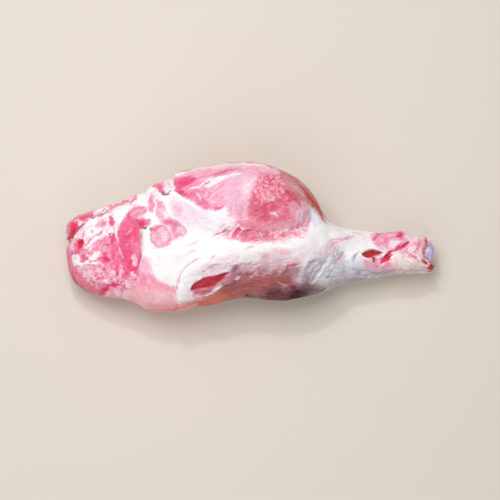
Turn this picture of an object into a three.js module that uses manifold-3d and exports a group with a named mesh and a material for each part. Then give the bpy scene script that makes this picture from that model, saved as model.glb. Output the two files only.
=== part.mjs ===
// Bone-in pork leg, raw and skinned, lying on its outer side.
// Millimetres. X runs along the leg from the rump (-X) to the hock (+X), Y across it, Z up.
// The leg rests on the flat patch at z = 0, where its weight presses it against what it lies on.
import * as THREE from "three";
import { mergeVertices } from "three/addons/utils/BufferGeometryUtils.js";
import Module from "manifold-3d";

const wasm = await Module();
wasm.setup();

// Driving dimensions
const RUMP_END = -250;
const HOCK_END = 250;
const FLESH_END = 237;
const BONE_TOP_END = 58;
const FIT_GAP = 0.3;
const RUMP_ROUNDING = 10;
const HOCK_ROUNDING = 6;

// How finely the leg is divided
const STATIONS = 68;
const AROUND = 54;
const CAP_RINGS = 5;
const FINE_STEPS = 8;

// Lines of the leg, each as [distance along X, value]
const FAR_EDGE = [
  [-250, 26], [-229, 28], [-202, 37], [-172, 46], [-153, 56], [-141, 58], [-134, 67],
  [-114, 75], [-94, 87], [-67, 92], [-34, 97], [-6, 99], [16, 96], [40, 87], [61, 77],
  [78, 62], [89, 48], [97, 33], [105, 22], [121, 14], [148, 11], [182, 9], [205, 11],
  [229, 4], [245, 0],
];
const NEAR_EDGE = [
  [-250, -32], [-245, -45], [-237, -59], [-222, -69], [-198, -79], [-168, -85], [-152, -90],
  [-137, -98], [-114, -101], [-94, -100], [-74, -95], [-47, -91], [-20, -84], [-4, -82],
  [20, -85], [43, -87], [61, -84], [84, -79], [108, -69], [128, -61], [159, -56],
  [175, -52], [189, -48], [218, -46], [245, -46],
];
const CREST_LINE = [
  [-250, 0], [-150, -4], [-60, 8], [0, 22], [40, 18], [80, -6], [110, -18], [150, -22],
  [245, -22],
];
const CREST_HEIGHT = [
  [-250, 36], [-238, 53], [-215, 70], [-160, 88], [-100, 104], [-40, 118], [10, 124],
  [50, 118], [90, 98], [120, 80], [150, 67], [185, 57], [215, 52], [245, 47],
];
const FAR_EDGE_HEIGHT = [
  [-250, 20], [-230, 29], [-150, 42], [-60, 54], [30, 58], [90, 48], [120, 36], [180, 29],
  [245, 26],
];
const NEAR_EDGE_HEIGHT = [
  [-250, 18], [-230, 25], [-150, 34], [-60, 40], [60, 44], [120, 36], [180, 29], [245, 26],
];
const FULLNESS = [[-250, 2.7], [-150, 2.6], [-40, 2.35], [60, 2.25], [120, 2.1], [245, 2.4]];
const UNDERSIDE = [[-250, 3], [-225, 0], [110, 0], [160, 2], [245, 4]];
const UNDERSIDE_FULLNESS = [[-250, 2.6], [-100, 2.4], [60, 2.3], [110, 2.05], [245, 2]];
const PRESSED_IN = [[-250, 4], [80, 4], [130, 2]];

// How squarely the two cut ends round over: 1 is a plain quarter circle, less is squarer
const END_SQUARENESS = 0.5;

// The cut ends, as [Y, width, reach]: tags of flesh beside the knuckle, and the notch under the flap
const HOCK_TAGS = [[-3, 8, 12], [-41, 8, 13]];
const HOCK_HOLLOW = 3;
const HOCK_TAG_START = 218;
const RUMP_NOTCH = [-5, 5, 5];
const RUMP_NOTCH_END = -232;

// Relief, in plan. Depths are along the surface normal: grooves go in, ridges and pads stand out.
const GROOVES = [
  {
    name: "seam below the round muscle",
    depth: 6,
    width: 9,
    path: [[-58, -12], [-20, -12], [20, -13], [52, -11], [72, 2], [82, 20]],
  },
  {
    name: "flap seam at the rump",
    depth: 5,
    width: 6,
    path: [[-250, -6], [-236, 6], [-222, 20], [-196, 32], [-170, 40]],
  },
  {
    name: "edge of the fat over the rump muscle",
    depth: 4,
    width: 7,
    path: [[-150, 2], [-149, -20], [-152, -48]],
  },
  {
    name: "start of the silverside lobe",
    depth: 6,
    width: 8,
    path: [[-104, -92], [-103, -72], [-94, -50], [-70, -36], [-34, -28]],
  },
  { name: "hollow of the flank", depth: 4, width: 12, path: [[-14, -60], [26, -50], [58, -56]] },
  {
    name: "hollow behind the shank tendon",
    depth: 4,
    width: 9,
    path: [[104, -8], [124, -30], [132, -48]],
  },
  { name: "red seam on the hock", depth: 4, width: 5, path: [[170, -32], [192, -26], [212, -14]] },
];
const RIDGES = [
  {
    name: "rolled edge of the silverside lobe",
    height: 6,
    width: 14,
    path: [[-96, -86], [-92, -66], [-78, -50], [-50, -42]],
  },
  {
    name: "fat ridge along the leg",
    height: 5,
    width: 16,
    path: [[-30, -26], [20, -24], [70, -20], [110, -14]],
  },
  {
    name: "flap at the rump",
    height: 5,
    width: 9,
    path: [[-248, 10], [-225, 24], [-196, 36], [-170, 44]],
  },
  {
    name: "shank tendon",
    height: 4,
    width: 8,
    path: [[150, -32], [175, -38], [200, -36], [232, -34]],
  },
  {
    name: "front tendon of the hock",
    height: 4,
    width: 8,
    path: [[172, -6], [196, -4], [222, -10]],
  },
];
const PADS = [
  { name: "round muscle", height: 4, at: [12, 40], radii: [72, 44] },
  { name: "rump muscle", height: -5, at: [-164, -16], radii: [20, 40] },
  { name: "window in the fat", height: -5, at: [-110, -10], radii: [22, 18] },
  { name: "fat pad on the hock", height: 3, at: [204, -34], radii: [18, 9] },
];

// Seams on the side walls, along paths in space
const SIDE_SEAMS = [
  {
    name: "seam under the silverside",
    depth: 4,
    width: 8,
    path: [[-190, -80, 28], [-110, -99, 20], [-40, -90, 20], [20, -85, 24], [84, -78, 30]],
  },
  {
    name: "seam under the round muscle",
    depth: 4,
    width: 8,
    path: [[-190, 40, 32], [-100, 82, 28], [-20, 98, 30], [50, 82, 26], [92, 42, 30]],
  },
];

// A pad is flat in its middle and falls away over the last part of its radii
const PAD_EDGE = 1.25;
const PAD_SLOPE = 0.5;

// Relief fades out on walls that turn down, and over this length from the rump end
const FADE_FROM = -0.1;
const FADE_TO = 0.35;
const RELIEF_STARTS = 20;

// Pockets cut into the flesh: a lens with its long axis along the surface, facing out of it
const POCKETS = [
  {
    name: "pocket in the silverside",
    at: [-54, -70, 95],
    radii: [29, 8.5, 9],
    along: [53, 25, 14],
    out: [0, -0.63, 0.775],
  },
  {
    name: "slit beside the heel tendon",
    at: [166, -26, 62],
    radii: [16, 5.5, 7],
    along: [1, 0, -0.12],
    out: [0.12, -0.2, 0.97],
  },
];
const LENS_SEGMENTS = 20;
const LENS_BANDS = 12;

// Shank bone
const BONE_LINE = { y: -20, z: 28 };
const BONE_SHAFT = 10;
const BONE_WIDTH = [
  [58, 0.55], [66, 1], [200, 1.05], [222, 1.4], [236, 1.72], [244, 1.66], [250, 1],
];
const BONE_FLATNESS = 0.86;
const BONE_RINGS = 22;
const BONE_AROUND = 20;
const BONE_END_ROUNDING = 1;
const RING_CROWDING = 1.7;
const KNUCKLE_GROOVE = 0.16;
const KNUCKLE_START = 215;
const KNUCKLE_FULL = 245;

const FLESH_FAT = new THREE.MeshStandardMaterial({ color: 0xf0d3d2, roughness: 0.45, metalness: 0 });
const BONE = new THREE.MeshStandardMaterial({ color: 0xcdc3d6, roughness: 0.35, metalness: 0 });

// A smooth curve through [x, value] knots that never overshoots them
function smoothCurve(knots) {
  const slope = knots.map((knot, i) => {
    if (i === 0 || i === knots.length - 1) return 0;
    const before = (knot[1] - knots[i - 1][1]) / (knot[0] - knots[i - 1][0]);
    const after = (knots[i + 1][1] - knot[1]) / (knots[i + 1][0] - knot[0]);
    return before * after > 0 ? (2 * before * after) / (before + after) : 0;
  });
  return (x) => {
    const last = knots.length - 1;
    if (x <= knots[0][0]) return knots[0][1];
    if (x >= knots[last][0]) return knots[last][1];
    const i = knots.findIndex((knot) => knot[0] > x) - 1;
    const span = knots[i + 1][0] - knots[i][0];
    const t = (x - knots[i][0]) / span;
    const rise = knots[i + 1][1] - knots[i][1];
    const bend = t * (1 - t) * ((1 - t) * (slope[i] * span - rise) - t * (slope[i + 1] * span - rise));
    return knots[i][1] + rise * t + bend;
  };
}

const farEdge = smoothCurve(FAR_EDGE);
const nearEdge = smoothCurve(NEAR_EDGE);
const crestLine = smoothCurve(CREST_LINE);
const crestHeight = smoothCurve(CREST_HEIGHT);
const farEdgeHeight = smoothCurve(FAR_EDGE_HEIGHT);
const nearEdgeHeight = smoothCurve(NEAR_EDGE_HEIGHT);
const fullness = smoothCurve(FULLNESS);
const underside = smoothCurve(UNDERSIDE);
const undersideFullness = smoothCurve(UNDERSIDE_FULLNESS);
const pressedIn = smoothCurve(PRESSED_IN);
const boneWidth = smoothCurve(BONE_WIDTH);

// One point of the leg's section at x, at an angle from the far edge over the crest
function sectionPoint(x, angle) {
  const far = Math.cos(angle) >= 0;
  const upper = Math.sin(angle) >= 0;
  const crest = crestLine(x);
  const halfWidth = far ? farEdge(x) - crest : crest - nearEdge(x);
  const edge = far ? farEdgeHeight(x) : nearEdgeHeight(x);
  const halfHeight = upper ? crestHeight(x) - edge : edge - underside(x) + pressedIn(x);
  const power = 2 / (upper ? fullness : undersideFullness)(x);
  const y = crest + Math.sign(Math.cos(angle)) * halfWidth * Math.abs(Math.cos(angle)) ** power;
  const z = edge + Math.sign(Math.sin(angle)) * halfHeight * Math.abs(Math.sin(angle)) ** power;
  return new THREE.Vector2(y, Math.max(z, underside(x)));
}

// The section at x as a ring of evenly spaced points, starting under the crest
function sectionRing(x, count) {
  const fine = [];
  const steps = count * FINE_STEPS;
  for (let i = 0; i < steps; i++) {
    fine.push(sectionPoint(x, -Math.PI / 2 + (2 * Math.PI * i) / steps));
  }
  fine.push(fine[0].clone());
  const reach = [0];
  for (let i = 1; i <= steps; i++) reach.push(reach[i - 1] + fine[i].distanceTo(fine[i - 1]));
  const ring = [];
  let at = 0;
  for (let i = 0; i < count; i++) {
    const wanted = (reach[steps] * i) / count;
    while (reach[at + 1] < wanted) at++;
    const t = (wanted - reach[at]) / (reach[at + 1] - reach[at]);
    ring.push(fine[at].clone().lerp(fine[at + 1], t));
  }
  return ring;
}

// Where each ring of the leg stands, and how far it shrinks to its middle where an end rounds over
function ringPlaces() {
  const places = [];
  const turnAt = (i) => (Math.PI / 2) * (i / (CAP_RINGS + 1));
  const shrinkAt = (i) => Math.sin(turnAt(i)) ** END_SQUARENESS;
  for (let i = 1; i <= CAP_RINGS; i++) {
    const x = RUMP_END + RUMP_ROUNDING * (1 - Math.cos(turnAt(i)));
    places.push({ x, shrink: shrinkAt(i) });
  }
  const bodyStart = RUMP_END + RUMP_ROUNDING;
  const bodyLength = FLESH_END - HOCK_ROUNDING - bodyStart;
  for (let i = 0; i <= STATIONS; i++) {
    places.push({ x: bodyStart + (bodyLength * i) / STATIONS, shrink: 1 });
  }
  for (let i = CAP_RINGS; i >= 1; i--) {
    const x = FLESH_END - HOCK_ROUNDING * (1 - Math.cos(turnAt(i)));
    places.push({ x, shrink: shrinkAt(i) });
  }
  return places;
}

// Distance from a point in plan or in space to a path given in the same way
function distanceToPath(point, path) {
  const at = (corner) => point.clone().fromArray(corner);
  const closest = point.clone();
  let least = Infinity;
  for (let i = 1; i < path.length; i++) {
    const a = at(path[i - 1]);
    const along = at(path[i]).sub(a);
    const t = THREE.MathUtils.clamp(point.clone().sub(a).dot(along) / along.lengthSq(), 0, 1);
    closest.copy(a).addScaledVector(along, t);
    least = Math.min(least, closest.distanceTo(point));
  }
  return least;
}

// How near a distance is to the middle of something of a given width: 1 in its middle, 0 far away
function nearness(distance, width) {
  return Math.exp(-((distance / width) ** 2));
}

// How far the surface stands out from the plain section at a plan point on the upper side
function relief(x, y) {
  const point = new THREE.Vector2(x, y);
  let out = 0;
  for (const groove of GROOVES) {
    out -= groove.depth * nearness(distanceToPath(point, groove.path), groove.width);
  }
  for (const ridge of RIDGES) {
    out += ridge.height * nearness(distanceToPath(point, ridge.path), ridge.width);
  }
  for (const pad of PADS) {
    const away = Math.hypot((x - pad.at[0]) / pad.radii[0], (y - pad.at[1]) / pad.radii[1]);
    out += pad.height * THREE.MathUtils.smoothstep(PAD_EDGE - away, 0, PAD_SLOPE);
  }
  return out;
}

// How far the seams on the side walls take the surface in at a point in space
function seamDepth(point) {
  let depth = 0;
  for (const seam of SIDE_SEAMS) {
    depth += seam.depth * nearness(distanceToPath(point, seam.path), seam.width);
  }
  return depth;
}

// How far the cut ends reach along X beyond a flat cut, at a point near one of them
function endReach(x, y) {
  const atHock = THREE.MathUtils.smoothstep(x, HOCK_TAG_START, FLESH_END);
  let reach = -HOCK_HOLLOW;
  for (const [tagY, width, length] of HOCK_TAGS) reach += length * nearness(y - tagY, width);
  const [notchY, notchWidth, notchDepth] = RUMP_NOTCH;
  const atRump = THREE.MathUtils.smoothstep(-x, -RUMP_NOTCH_END, -RUMP_END);
  return atHock * reach + atRump * notchDepth * nearness(y - notchY, notchWidth);
}

// A closed mesh over rings of points of equal count, with a point closing each end
function loftGeometry(rings, startPoint, endPoint) {
  const count = rings[0].length;
  const points = [startPoint, ...rings.flat(), endPoint];
  const index = [];
  for (let j = 0; j < count; j++) {
    const next = (j + 1) % count;
    index.push(0, 1 + next, 1 + j);
    for (let i = 0; i < rings.length - 1; i++) {
      const a = 1 + i * count + j;
      const b = 1 + i * count + next;
      index.push(a, b, b + count, a, b + count, a + count);
    }
    const lastRing = 1 + (rings.length - 1) * count;
    index.push(lastRing + j, lastRing + next, points.length - 1);
  }
  const geometry = new THREE.BufferGeometry();
  geometry.setAttribute("position", new THREE.Float32BufferAttribute(points.flatMap((p) => p.toArray()), 3));
  geometry.setIndex(index);
  geometry.computeVertexNormals();
  return geometry;
}

function legGeometry() {
  const places = ringPlaces();
  const rings = places.map(({ x, shrink }) => {
    const middleY = (farEdge(x) + nearEdge(x)) / 2;
    const middleZ = crestHeight(x) / 2;
    return sectionRing(x, AROUND).map((p) => {
      const y = middleY + (p.x - middleY) * shrink;
      const z = middleZ + (p.y - middleZ) * shrink;
      return new THREE.Vector3(x, y, z);
    });
  });
  const endPoint = (x) => {
    return new THREE.Vector3(x, (farEdge(x) + nearEdge(x)) / 2, crestHeight(x) / 2);
  };
  const geometry = loftGeometry(rings, endPoint(RUMP_END), endPoint(FLESH_END));
  const position = geometry.attributes.position;
  const normal = geometry.attributes.normal;
  for (let i = 0; i < position.count; i++) {
    const p = new THREE.Vector3().fromBufferAttribute(position, i);
    const n = new THREE.Vector3().fromBufferAttribute(normal, i);
    const facingUp = THREE.MathUtils.smoothstep(n.z, FADE_FROM, FADE_TO);
    const offEnd = THREE.MathUtils.smoothstep(p.x - RUMP_END, 0, RELIEF_STARTS);
    const reach = endReach(p.x, p.y);
    p.addScaledVector(n, relief(p.x, p.y) * facingUp * offEnd - seamDepth(p));
    p.x += reach;
    position.setXYZ(i, p.x, p.y, Math.max(p.z, 0));
  }
  return geometry;
}

// The shank bone: a shaft that widens into the two knuckles of the hock joint.
// grown thickens it all round.
function boneGeometry(grown) {
  const rings = [];
  const start = BONE_TOP_END + BONE_END_ROUNDING;
  const length = HOCK_END - BONE_END_ROUNDING - start;
  for (let i = 0; i < BONE_RINGS; i++) {
    const x = start + length * (1 - (1 - i / (BONE_RINGS - 1)) ** RING_CROWDING);
    const knuckle = THREE.MathUtils.smoothstep(x, KNUCKLE_START, KNUCKLE_FULL);
    const ring = [];
    for (let j = 0; j < BONE_AROUND; j++) {
      const angle = (2 * Math.PI * j) / BONE_AROUND;
      const waist = 1 - KNUCKLE_GROOVE * knuckle * Math.sin(angle) ** 4;
      const radius = BONE_SHAFT * boneWidth(x) * waist + grown;
      const y = BONE_LINE.y + radius * Math.cos(angle);
      const z = BONE_LINE.z + radius * Math.sin(angle) * BONE_FLATNESS;
      ring.push(new THREE.Vector3(x, y, z));
    }
    rings.push(ring);
  }
  const onLine = (x) => new THREE.Vector3(x, BONE_LINE.y, BONE_LINE.z);
  return loftGeometry(rings, onLine(BONE_TOP_END - grown), onLine(HOCK_END + grown));
}

function lensGeometry({ at, radii, along, out }) {
  const geometry = new THREE.SphereGeometry(1, LENS_SEGMENTS, LENS_BANDS);
  const facing = new THREE.Vector3(...out).normalize();
  const across = facing.clone().cross(new THREE.Vector3(...along)).normalize();
  const lengthwise = across.clone().cross(facing);
  geometry.scale(...radii);
  geometry.applyMatrix4(new THREE.Matrix4().makeBasis(lengthwise, across, facing));
  geometry.translate(...at);
  return geometry;
}

function toSolid(geometry) {
  const bare = geometry.clone();
  bare.deleteAttribute("normal");
  bare.deleteAttribute("uv");
  const merged = mergeVertices(bare);
  const vertProperties = new Float32Array(merged.attributes.position.array);
  const triVerts = new Uint32Array(merged.index.array);
  return new wasm.Manifold(new wasm.Mesh({ numProp: 3, vertProperties, triVerts }));
}

function toGeometry(solid) {
  const mesh = solid.getMesh();
  const geometry = new THREE.BufferGeometry();
  geometry.setAttribute("position", new THREE.BufferAttribute(mesh.vertProperties, 3));
  geometry.setIndex(new THREE.BufferAttribute(mesh.triVerts, 1));
  return geometry;
}

function legMeat() {
  let solid = toSolid(legGeometry());
  for (const pocket of POCKETS) solid = solid.subtract(toSolid(lensGeometry(pocket)));
  solid = solid.subtract(toSolid(boneGeometry(FIT_GAP)));
  return toGeometry(solid);
}

function part(name, geometry, material) {
  const mesh = new THREE.Mesh(geometry, material);
  mesh.name = name;
  return mesh;
}

const leg = new THREE.Group();
leg.add(part("leg_meat", legMeat(), FLESH_FAT), part("shank_bone", boneGeometry(0), BONE));

export default leg;
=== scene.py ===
"""Raw bone-in pork leg lying on a pale floor, seen from above as in the photograph.

The leg is one sculpted skin: smooth sections along its length, then forms, tissue patches and strands
laid out in the photograph's view, then fine relief. Lengths are millimetres until the meshes are made.
"""

import math

import bpy
import numpy as np
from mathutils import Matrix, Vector


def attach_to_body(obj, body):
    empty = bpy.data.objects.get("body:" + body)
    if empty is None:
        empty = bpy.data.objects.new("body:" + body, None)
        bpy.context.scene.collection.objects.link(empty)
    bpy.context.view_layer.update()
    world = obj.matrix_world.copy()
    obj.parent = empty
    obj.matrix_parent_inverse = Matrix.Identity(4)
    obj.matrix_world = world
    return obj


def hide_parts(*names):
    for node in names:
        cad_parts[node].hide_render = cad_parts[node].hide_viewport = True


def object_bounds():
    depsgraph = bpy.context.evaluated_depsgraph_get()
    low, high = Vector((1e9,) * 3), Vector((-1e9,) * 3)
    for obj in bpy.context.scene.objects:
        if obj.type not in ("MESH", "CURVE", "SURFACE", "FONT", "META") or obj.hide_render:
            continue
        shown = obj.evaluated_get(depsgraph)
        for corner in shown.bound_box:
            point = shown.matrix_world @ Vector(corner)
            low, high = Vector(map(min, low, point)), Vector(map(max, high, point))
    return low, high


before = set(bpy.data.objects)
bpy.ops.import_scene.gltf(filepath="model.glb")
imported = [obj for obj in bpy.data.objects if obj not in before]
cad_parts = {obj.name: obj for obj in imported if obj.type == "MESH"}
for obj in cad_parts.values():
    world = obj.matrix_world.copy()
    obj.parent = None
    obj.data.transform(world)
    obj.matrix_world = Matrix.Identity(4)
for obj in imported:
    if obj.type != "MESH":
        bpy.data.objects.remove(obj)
cad_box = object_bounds()

MM = 0.001
RUMP_END = -250.0
FLESH_END = 238.0
HOCK_END = 250.0

# The photograph's view: a 500 pixel frame, looking down from the near side of the leg
PHOTO_SIDE = 500
MM_PER_PIXEL = 1.3477
VIEW_ELEVATION = math.radians(79)
VIEW_DISTANCE = 2200.0
VIEW_TARGET = np.array([0.0, -17.8, 45.0])
SENSOR_WIDTH = 36.0

STATIONS = 430
AROUND = 380
TOP_SHARE = 2.2
RUMP_ROUNDING = 10.0
HOCK_ROUNDING = 6.0
CAP_RINGS = 16
END_SQUARENESS = 0.5

# Lines of the leg, each as (distance along X, value)
FAR_EDGE = [
    (-250, 26), (-229, 28), (-202, 37), (-172, 46), (-153, 56), (-141, 58), (-134, 67), (-114, 75),
    (-94, 87), (-67, 92), (-34, 97), (-6, 99), (16, 96), (40, 87), (61, 77), (78, 62), (89, 48),
    (97, 33), (105, 22), (121, 14), (148, 11), (182, 9), (205, 11), (229, 4), (245, 0),
]
NEAR_EDGE = [
    (-250, -32), (-245, -45), (-237, -59), (-222, -69), (-198, -79), (-168, -85), (-152, -90), (-137, -98),
    (-114, -101), (-94, -100), (-74, -95), (-47, -91), (-20, -84), (-4, -82), (20, -85), (43, -87),
    (61, -84), (84, -79), (108, -69), (128, -61), (159, -56), (175, -52), (189, -48), (218, -46), (245, -46),
]
CREST_LINE = [
    (-250, 0), (-150, -4), (-60, 8), (0, 22), (40, 18), (80, -6), (110, -18), (150, -22), (245, -22),
]
CREST_HEIGHT = [
    (-250, 36), (-238, 53), (-215, 70), (-160, 88), (-100, 104), (-40, 118), (10, 124), (50, 118), (90, 98),
    (120, 80), (150, 67), (185, 57), (215, 52), (245, 47),
]
FAR_EDGE_HEIGHT = [
    (-250, 20), (-230, 29), (-150, 42), (-60, 54), (30, 58), (90, 48), (120, 36), (180, 29), (245, 26),
]
NEAR_EDGE_HEIGHT = [(-250, 18), (-230, 25), (-150, 34), (-60, 40), (60, 44), (120, 36), (180, 29), (245, 26)]
FULLNESS = [(-250, 2.7), (-150, 2.6), (-40, 2.35), (60, 2.25), (120, 2.1), (245, 2.4)]
UNDERSIDE = [(-250, 3), (-225, 0), (110, 0), (160, 2), (245, 4)]
UNDERSIDE_FULLNESS = [(-250, 2.6), (-100, 2.4), (60, 2.3), (110, 2.05), (245, 2)]
PRESSED_IN = [(-250, 4), (80, 4), (130, 2)]

rng = np.random.RandomState(7)


def smooth_curve(knots, x):
    """The value at x of a smooth curve through (x, value) knots that never overshoots them."""
    kx, ky = np.array(knots, float).T
    rise = np.diff(ky) / np.diff(kx)
    slope = np.zeros(len(kx))
    before, after = rise[:-1], rise[1:]
    same_way = before * after > 0
    total = np.where(same_way, before + after, 1.0)
    slope[1:-1] = np.where(same_way, 2 * before * after / total, 0.0)
    x = np.clip(x, kx[0], kx[-1])
    i = np.clip(np.searchsorted(kx, x, side="right") - 1, 0, len(kx) - 2)
    span = kx[i + 1] - kx[i]
    t = (x - kx[i]) / span
    step = ky[i + 1] - ky[i]
    bend = t * (1 - t) * ((1 - t) * (slope[i] * span - step) - t * (slope[i + 1] * span - step))
    return ky[i] + step * t + bend


def smoothstep(value, low, high):
    t = np.clip((value - low) / (high - low), 0, 1)
    return t * t * (3 - 2 * t)


def mix(a, b, share):
    return a + (b - a) * share


NOISE_CELLS = 256
NOISE_GAIN = 1.6
SEED_STEP = 17.31

GRADIENTS = rng.normal(size=(NOISE_CELLS, 3))
GRADIENTS /= np.linalg.norm(GRADIENTS, axis=1)[:, None]
SHUFFLE = rng.permutation(NOISE_CELLS)


def noise(points, size, seed=0):
    """Smooth gradient noise from about -1 to 1, with features of the given size, a number or one per axis."""
    q = points / np.array(size, float) + seed * SEED_STEP
    cell = np.floor(q).astype(int)
    f = q - cell
    w = f * f * f * (f * (f * 6 - 15) + 10)
    total = np.zeros(len(points))
    for dx in (0, 1):
        for dy in (0, 1):
            for dz in (0, 1):
                corner = cell + (dx, dy, dz)
                h = 0
                weight = np.ones(len(points))
                for axis, d in enumerate((dx, dy, dz)):
                    h = SHUFFLE[(h + corner[:, axis]) % NOISE_CELLS]
                    weight *= w[:, axis] if d else 1 - w[:, axis]
                total += weight * np.einsum("ij,ij->i", GRADIENTS[h], f - (dx, dy, dz))
    return total * NOISE_GAIN


def rough(points, size, octaves=3, seed=0):
    """Several noises laid over each other, each half the size and strength of the one before."""
    size = np.array(size, float)
    return sum(noise(points, size / 2**k, seed + k) / 2**k for k in range(octaves))


# Frame of the photograph
VIEW_BACK = np.array([0.0, -math.cos(VIEW_ELEVATION), math.sin(VIEW_ELEVATION)])
VIEW_UP = np.array([0.0, math.sin(VIEW_ELEVATION), math.cos(VIEW_ELEVATION)])
CAMERA_AT = VIEW_TARGET + VIEW_BACK * VIEW_DISTANCE


def seen_at(points):
    """Where points appear in the photograph, in its pixels."""
    away = points - CAMERA_AT
    depth = -away @ VIEW_BACK
    across = away[:, 0] / depth * VIEW_DISTANCE / MM_PER_PIXEL
    up = away @ VIEW_UP / depth * VIEW_DISTANCE / MM_PER_PIXEL
    return np.stack([PHOTO_SIDE / 2 + across, PHOTO_SIDE / 2 - up], axis=1)


# Base form
SECTION_STEPS = 1024
# Points lie closer together above this share of the height of the widest line
TOP_FROM = 0.8


def section_rings(x, count):
    """For each x, the section as a ring of points (y, z) from under the crest, closer together on top."""
    def at(knots):
        return smooth_curve(knots, x)[:, None]

    angle = -math.pi / 2 + 2 * math.pi * np.arange(SECTION_STEPS + 1) / SECTION_STEPS
    c, s = np.cos(angle), np.sin(angle)
    far, upper = c >= 0, s >= 0
    crest, under = at(CREST_LINE), at(UNDERSIDE)
    half_width = np.where(far, at(FAR_EDGE) - crest, crest - at(NEAR_EDGE))
    edge = np.where(far, at(FAR_EDGE_HEIGHT), at(NEAR_EDGE_HEIGHT))
    half_height = np.where(upper, at(CREST_HEIGHT) - edge, edge - under + at(PRESSED_IN))
    power = 2 / np.where(upper, at(FULLNESS), at(UNDERSIDE_FULLNESS))
    y = crest + np.sign(c) * half_width * np.abs(c) ** power
    z = np.maximum(edge + np.sign(s) * half_height * np.abs(s) ** power, under)
    step = np.hypot(np.diff(y, axis=1), np.diff(z, axis=1))
    middle_up = (z[:, 1:] + z[:, :-1]) / 2 > edge[:, 1:] * TOP_FROM
    reach = np.cumsum(step * np.where(middle_up, TOP_SHARE, 1.0), axis=1)
    reach = np.concatenate([np.zeros((len(x), 1)), reach], axis=1)
    rings = np.empty((len(x), count, 2))
    for i in range(len(x)):
        wanted = reach[i, -1] * np.arange(count) / count
        rings[i, :, 0] = np.interp(wanted, reach[i], y[i])
        rings[i, :, 1] = np.interp(wanted, reach[i], z[i])
    return rings


def ring_places():
    """Where each ring stands, and how far it shrinks towards its middle where an end rounds over."""
    turn = math.pi / 2 * np.arange(1, CAP_RINGS + 1) / (CAP_RINGS + 1)
    shrink = np.sin(turn) ** END_SQUARENESS
    start = RUMP_END + RUMP_ROUNDING * (1 - np.cos(turn))
    end = FLESH_END - HOCK_ROUNDING * (1 - np.cos(turn[::-1]))
    body = np.linspace(RUMP_END + RUMP_ROUNDING, FLESH_END - HOCK_ROUNDING, STATIONS)
    x = np.concatenate([start, body, end])
    return x, np.concatenate([shrink, np.ones(STATIONS), shrink[::-1]])


def base_points():
    x, shrink = ring_places()
    rings = section_rings(x, AROUND)
    middle_y = ((smooth_curve(FAR_EDGE, x) + smooth_curve(NEAR_EDGE, x)) / 2)[:, None]
    middle_z = (smooth_curve(CREST_HEIGHT, x) / 2)[:, None]
    grid = np.empty((len(x), AROUND, 3))
    grid[..., 0] = x[:, None]
    grid[..., 1] = middle_y + (rings[..., 0] - middle_y) * shrink[:, None]
    grid[..., 2] = middle_z + (rings[..., 1] - middle_z) * shrink[:, None]
    first = [RUMP_END, middle_y[0, 0], middle_z[0, 0]]
    last = [FLESH_END, middle_y[-1, 0], middle_z[-1, 0]]
    return np.concatenate([[first], grid.reshape(-1, 3), [last]]), len(x)


def loft_faces(rings, count):
    """Quads between rings of points and triangles to the points that close the ends."""
    faces = []
    j = np.arange(count)
    following = (j + 1) % count
    for i in range(rings - 1):
        a, b = 1 + i * count + j, 1 + i * count + following
        faces += np.stack([a, b, b + count, a + count], axis=1).tolist()
    last = 1 + (rings - 1) * count
    faces += np.stack([np.zeros(count, int), 1 + following, 1 + j], axis=1).tolist()
    faces += np.stack([last + j, last + following, np.full(count, last + count)], axis=1).tolist()
    return faces


def vertex_normals(points, faces):
    quads = np.array([f for f in faces if len(f) == 4])
    normal = np.zeros_like(points)
    across = np.cross(points[quads[:, 2]] - points[quads[:, 0]], points[quads[:, 3]] - points[quads[:, 1]])
    for k in range(4):
        np.add.at(normal, quads[:, k], across)
    normal[0], normal[-1] = (-1, 0, 0), (1, 0, 0)
    return normal / np.maximum(np.linalg.norm(normal, axis=1), 1e-12)[:, None]


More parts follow.
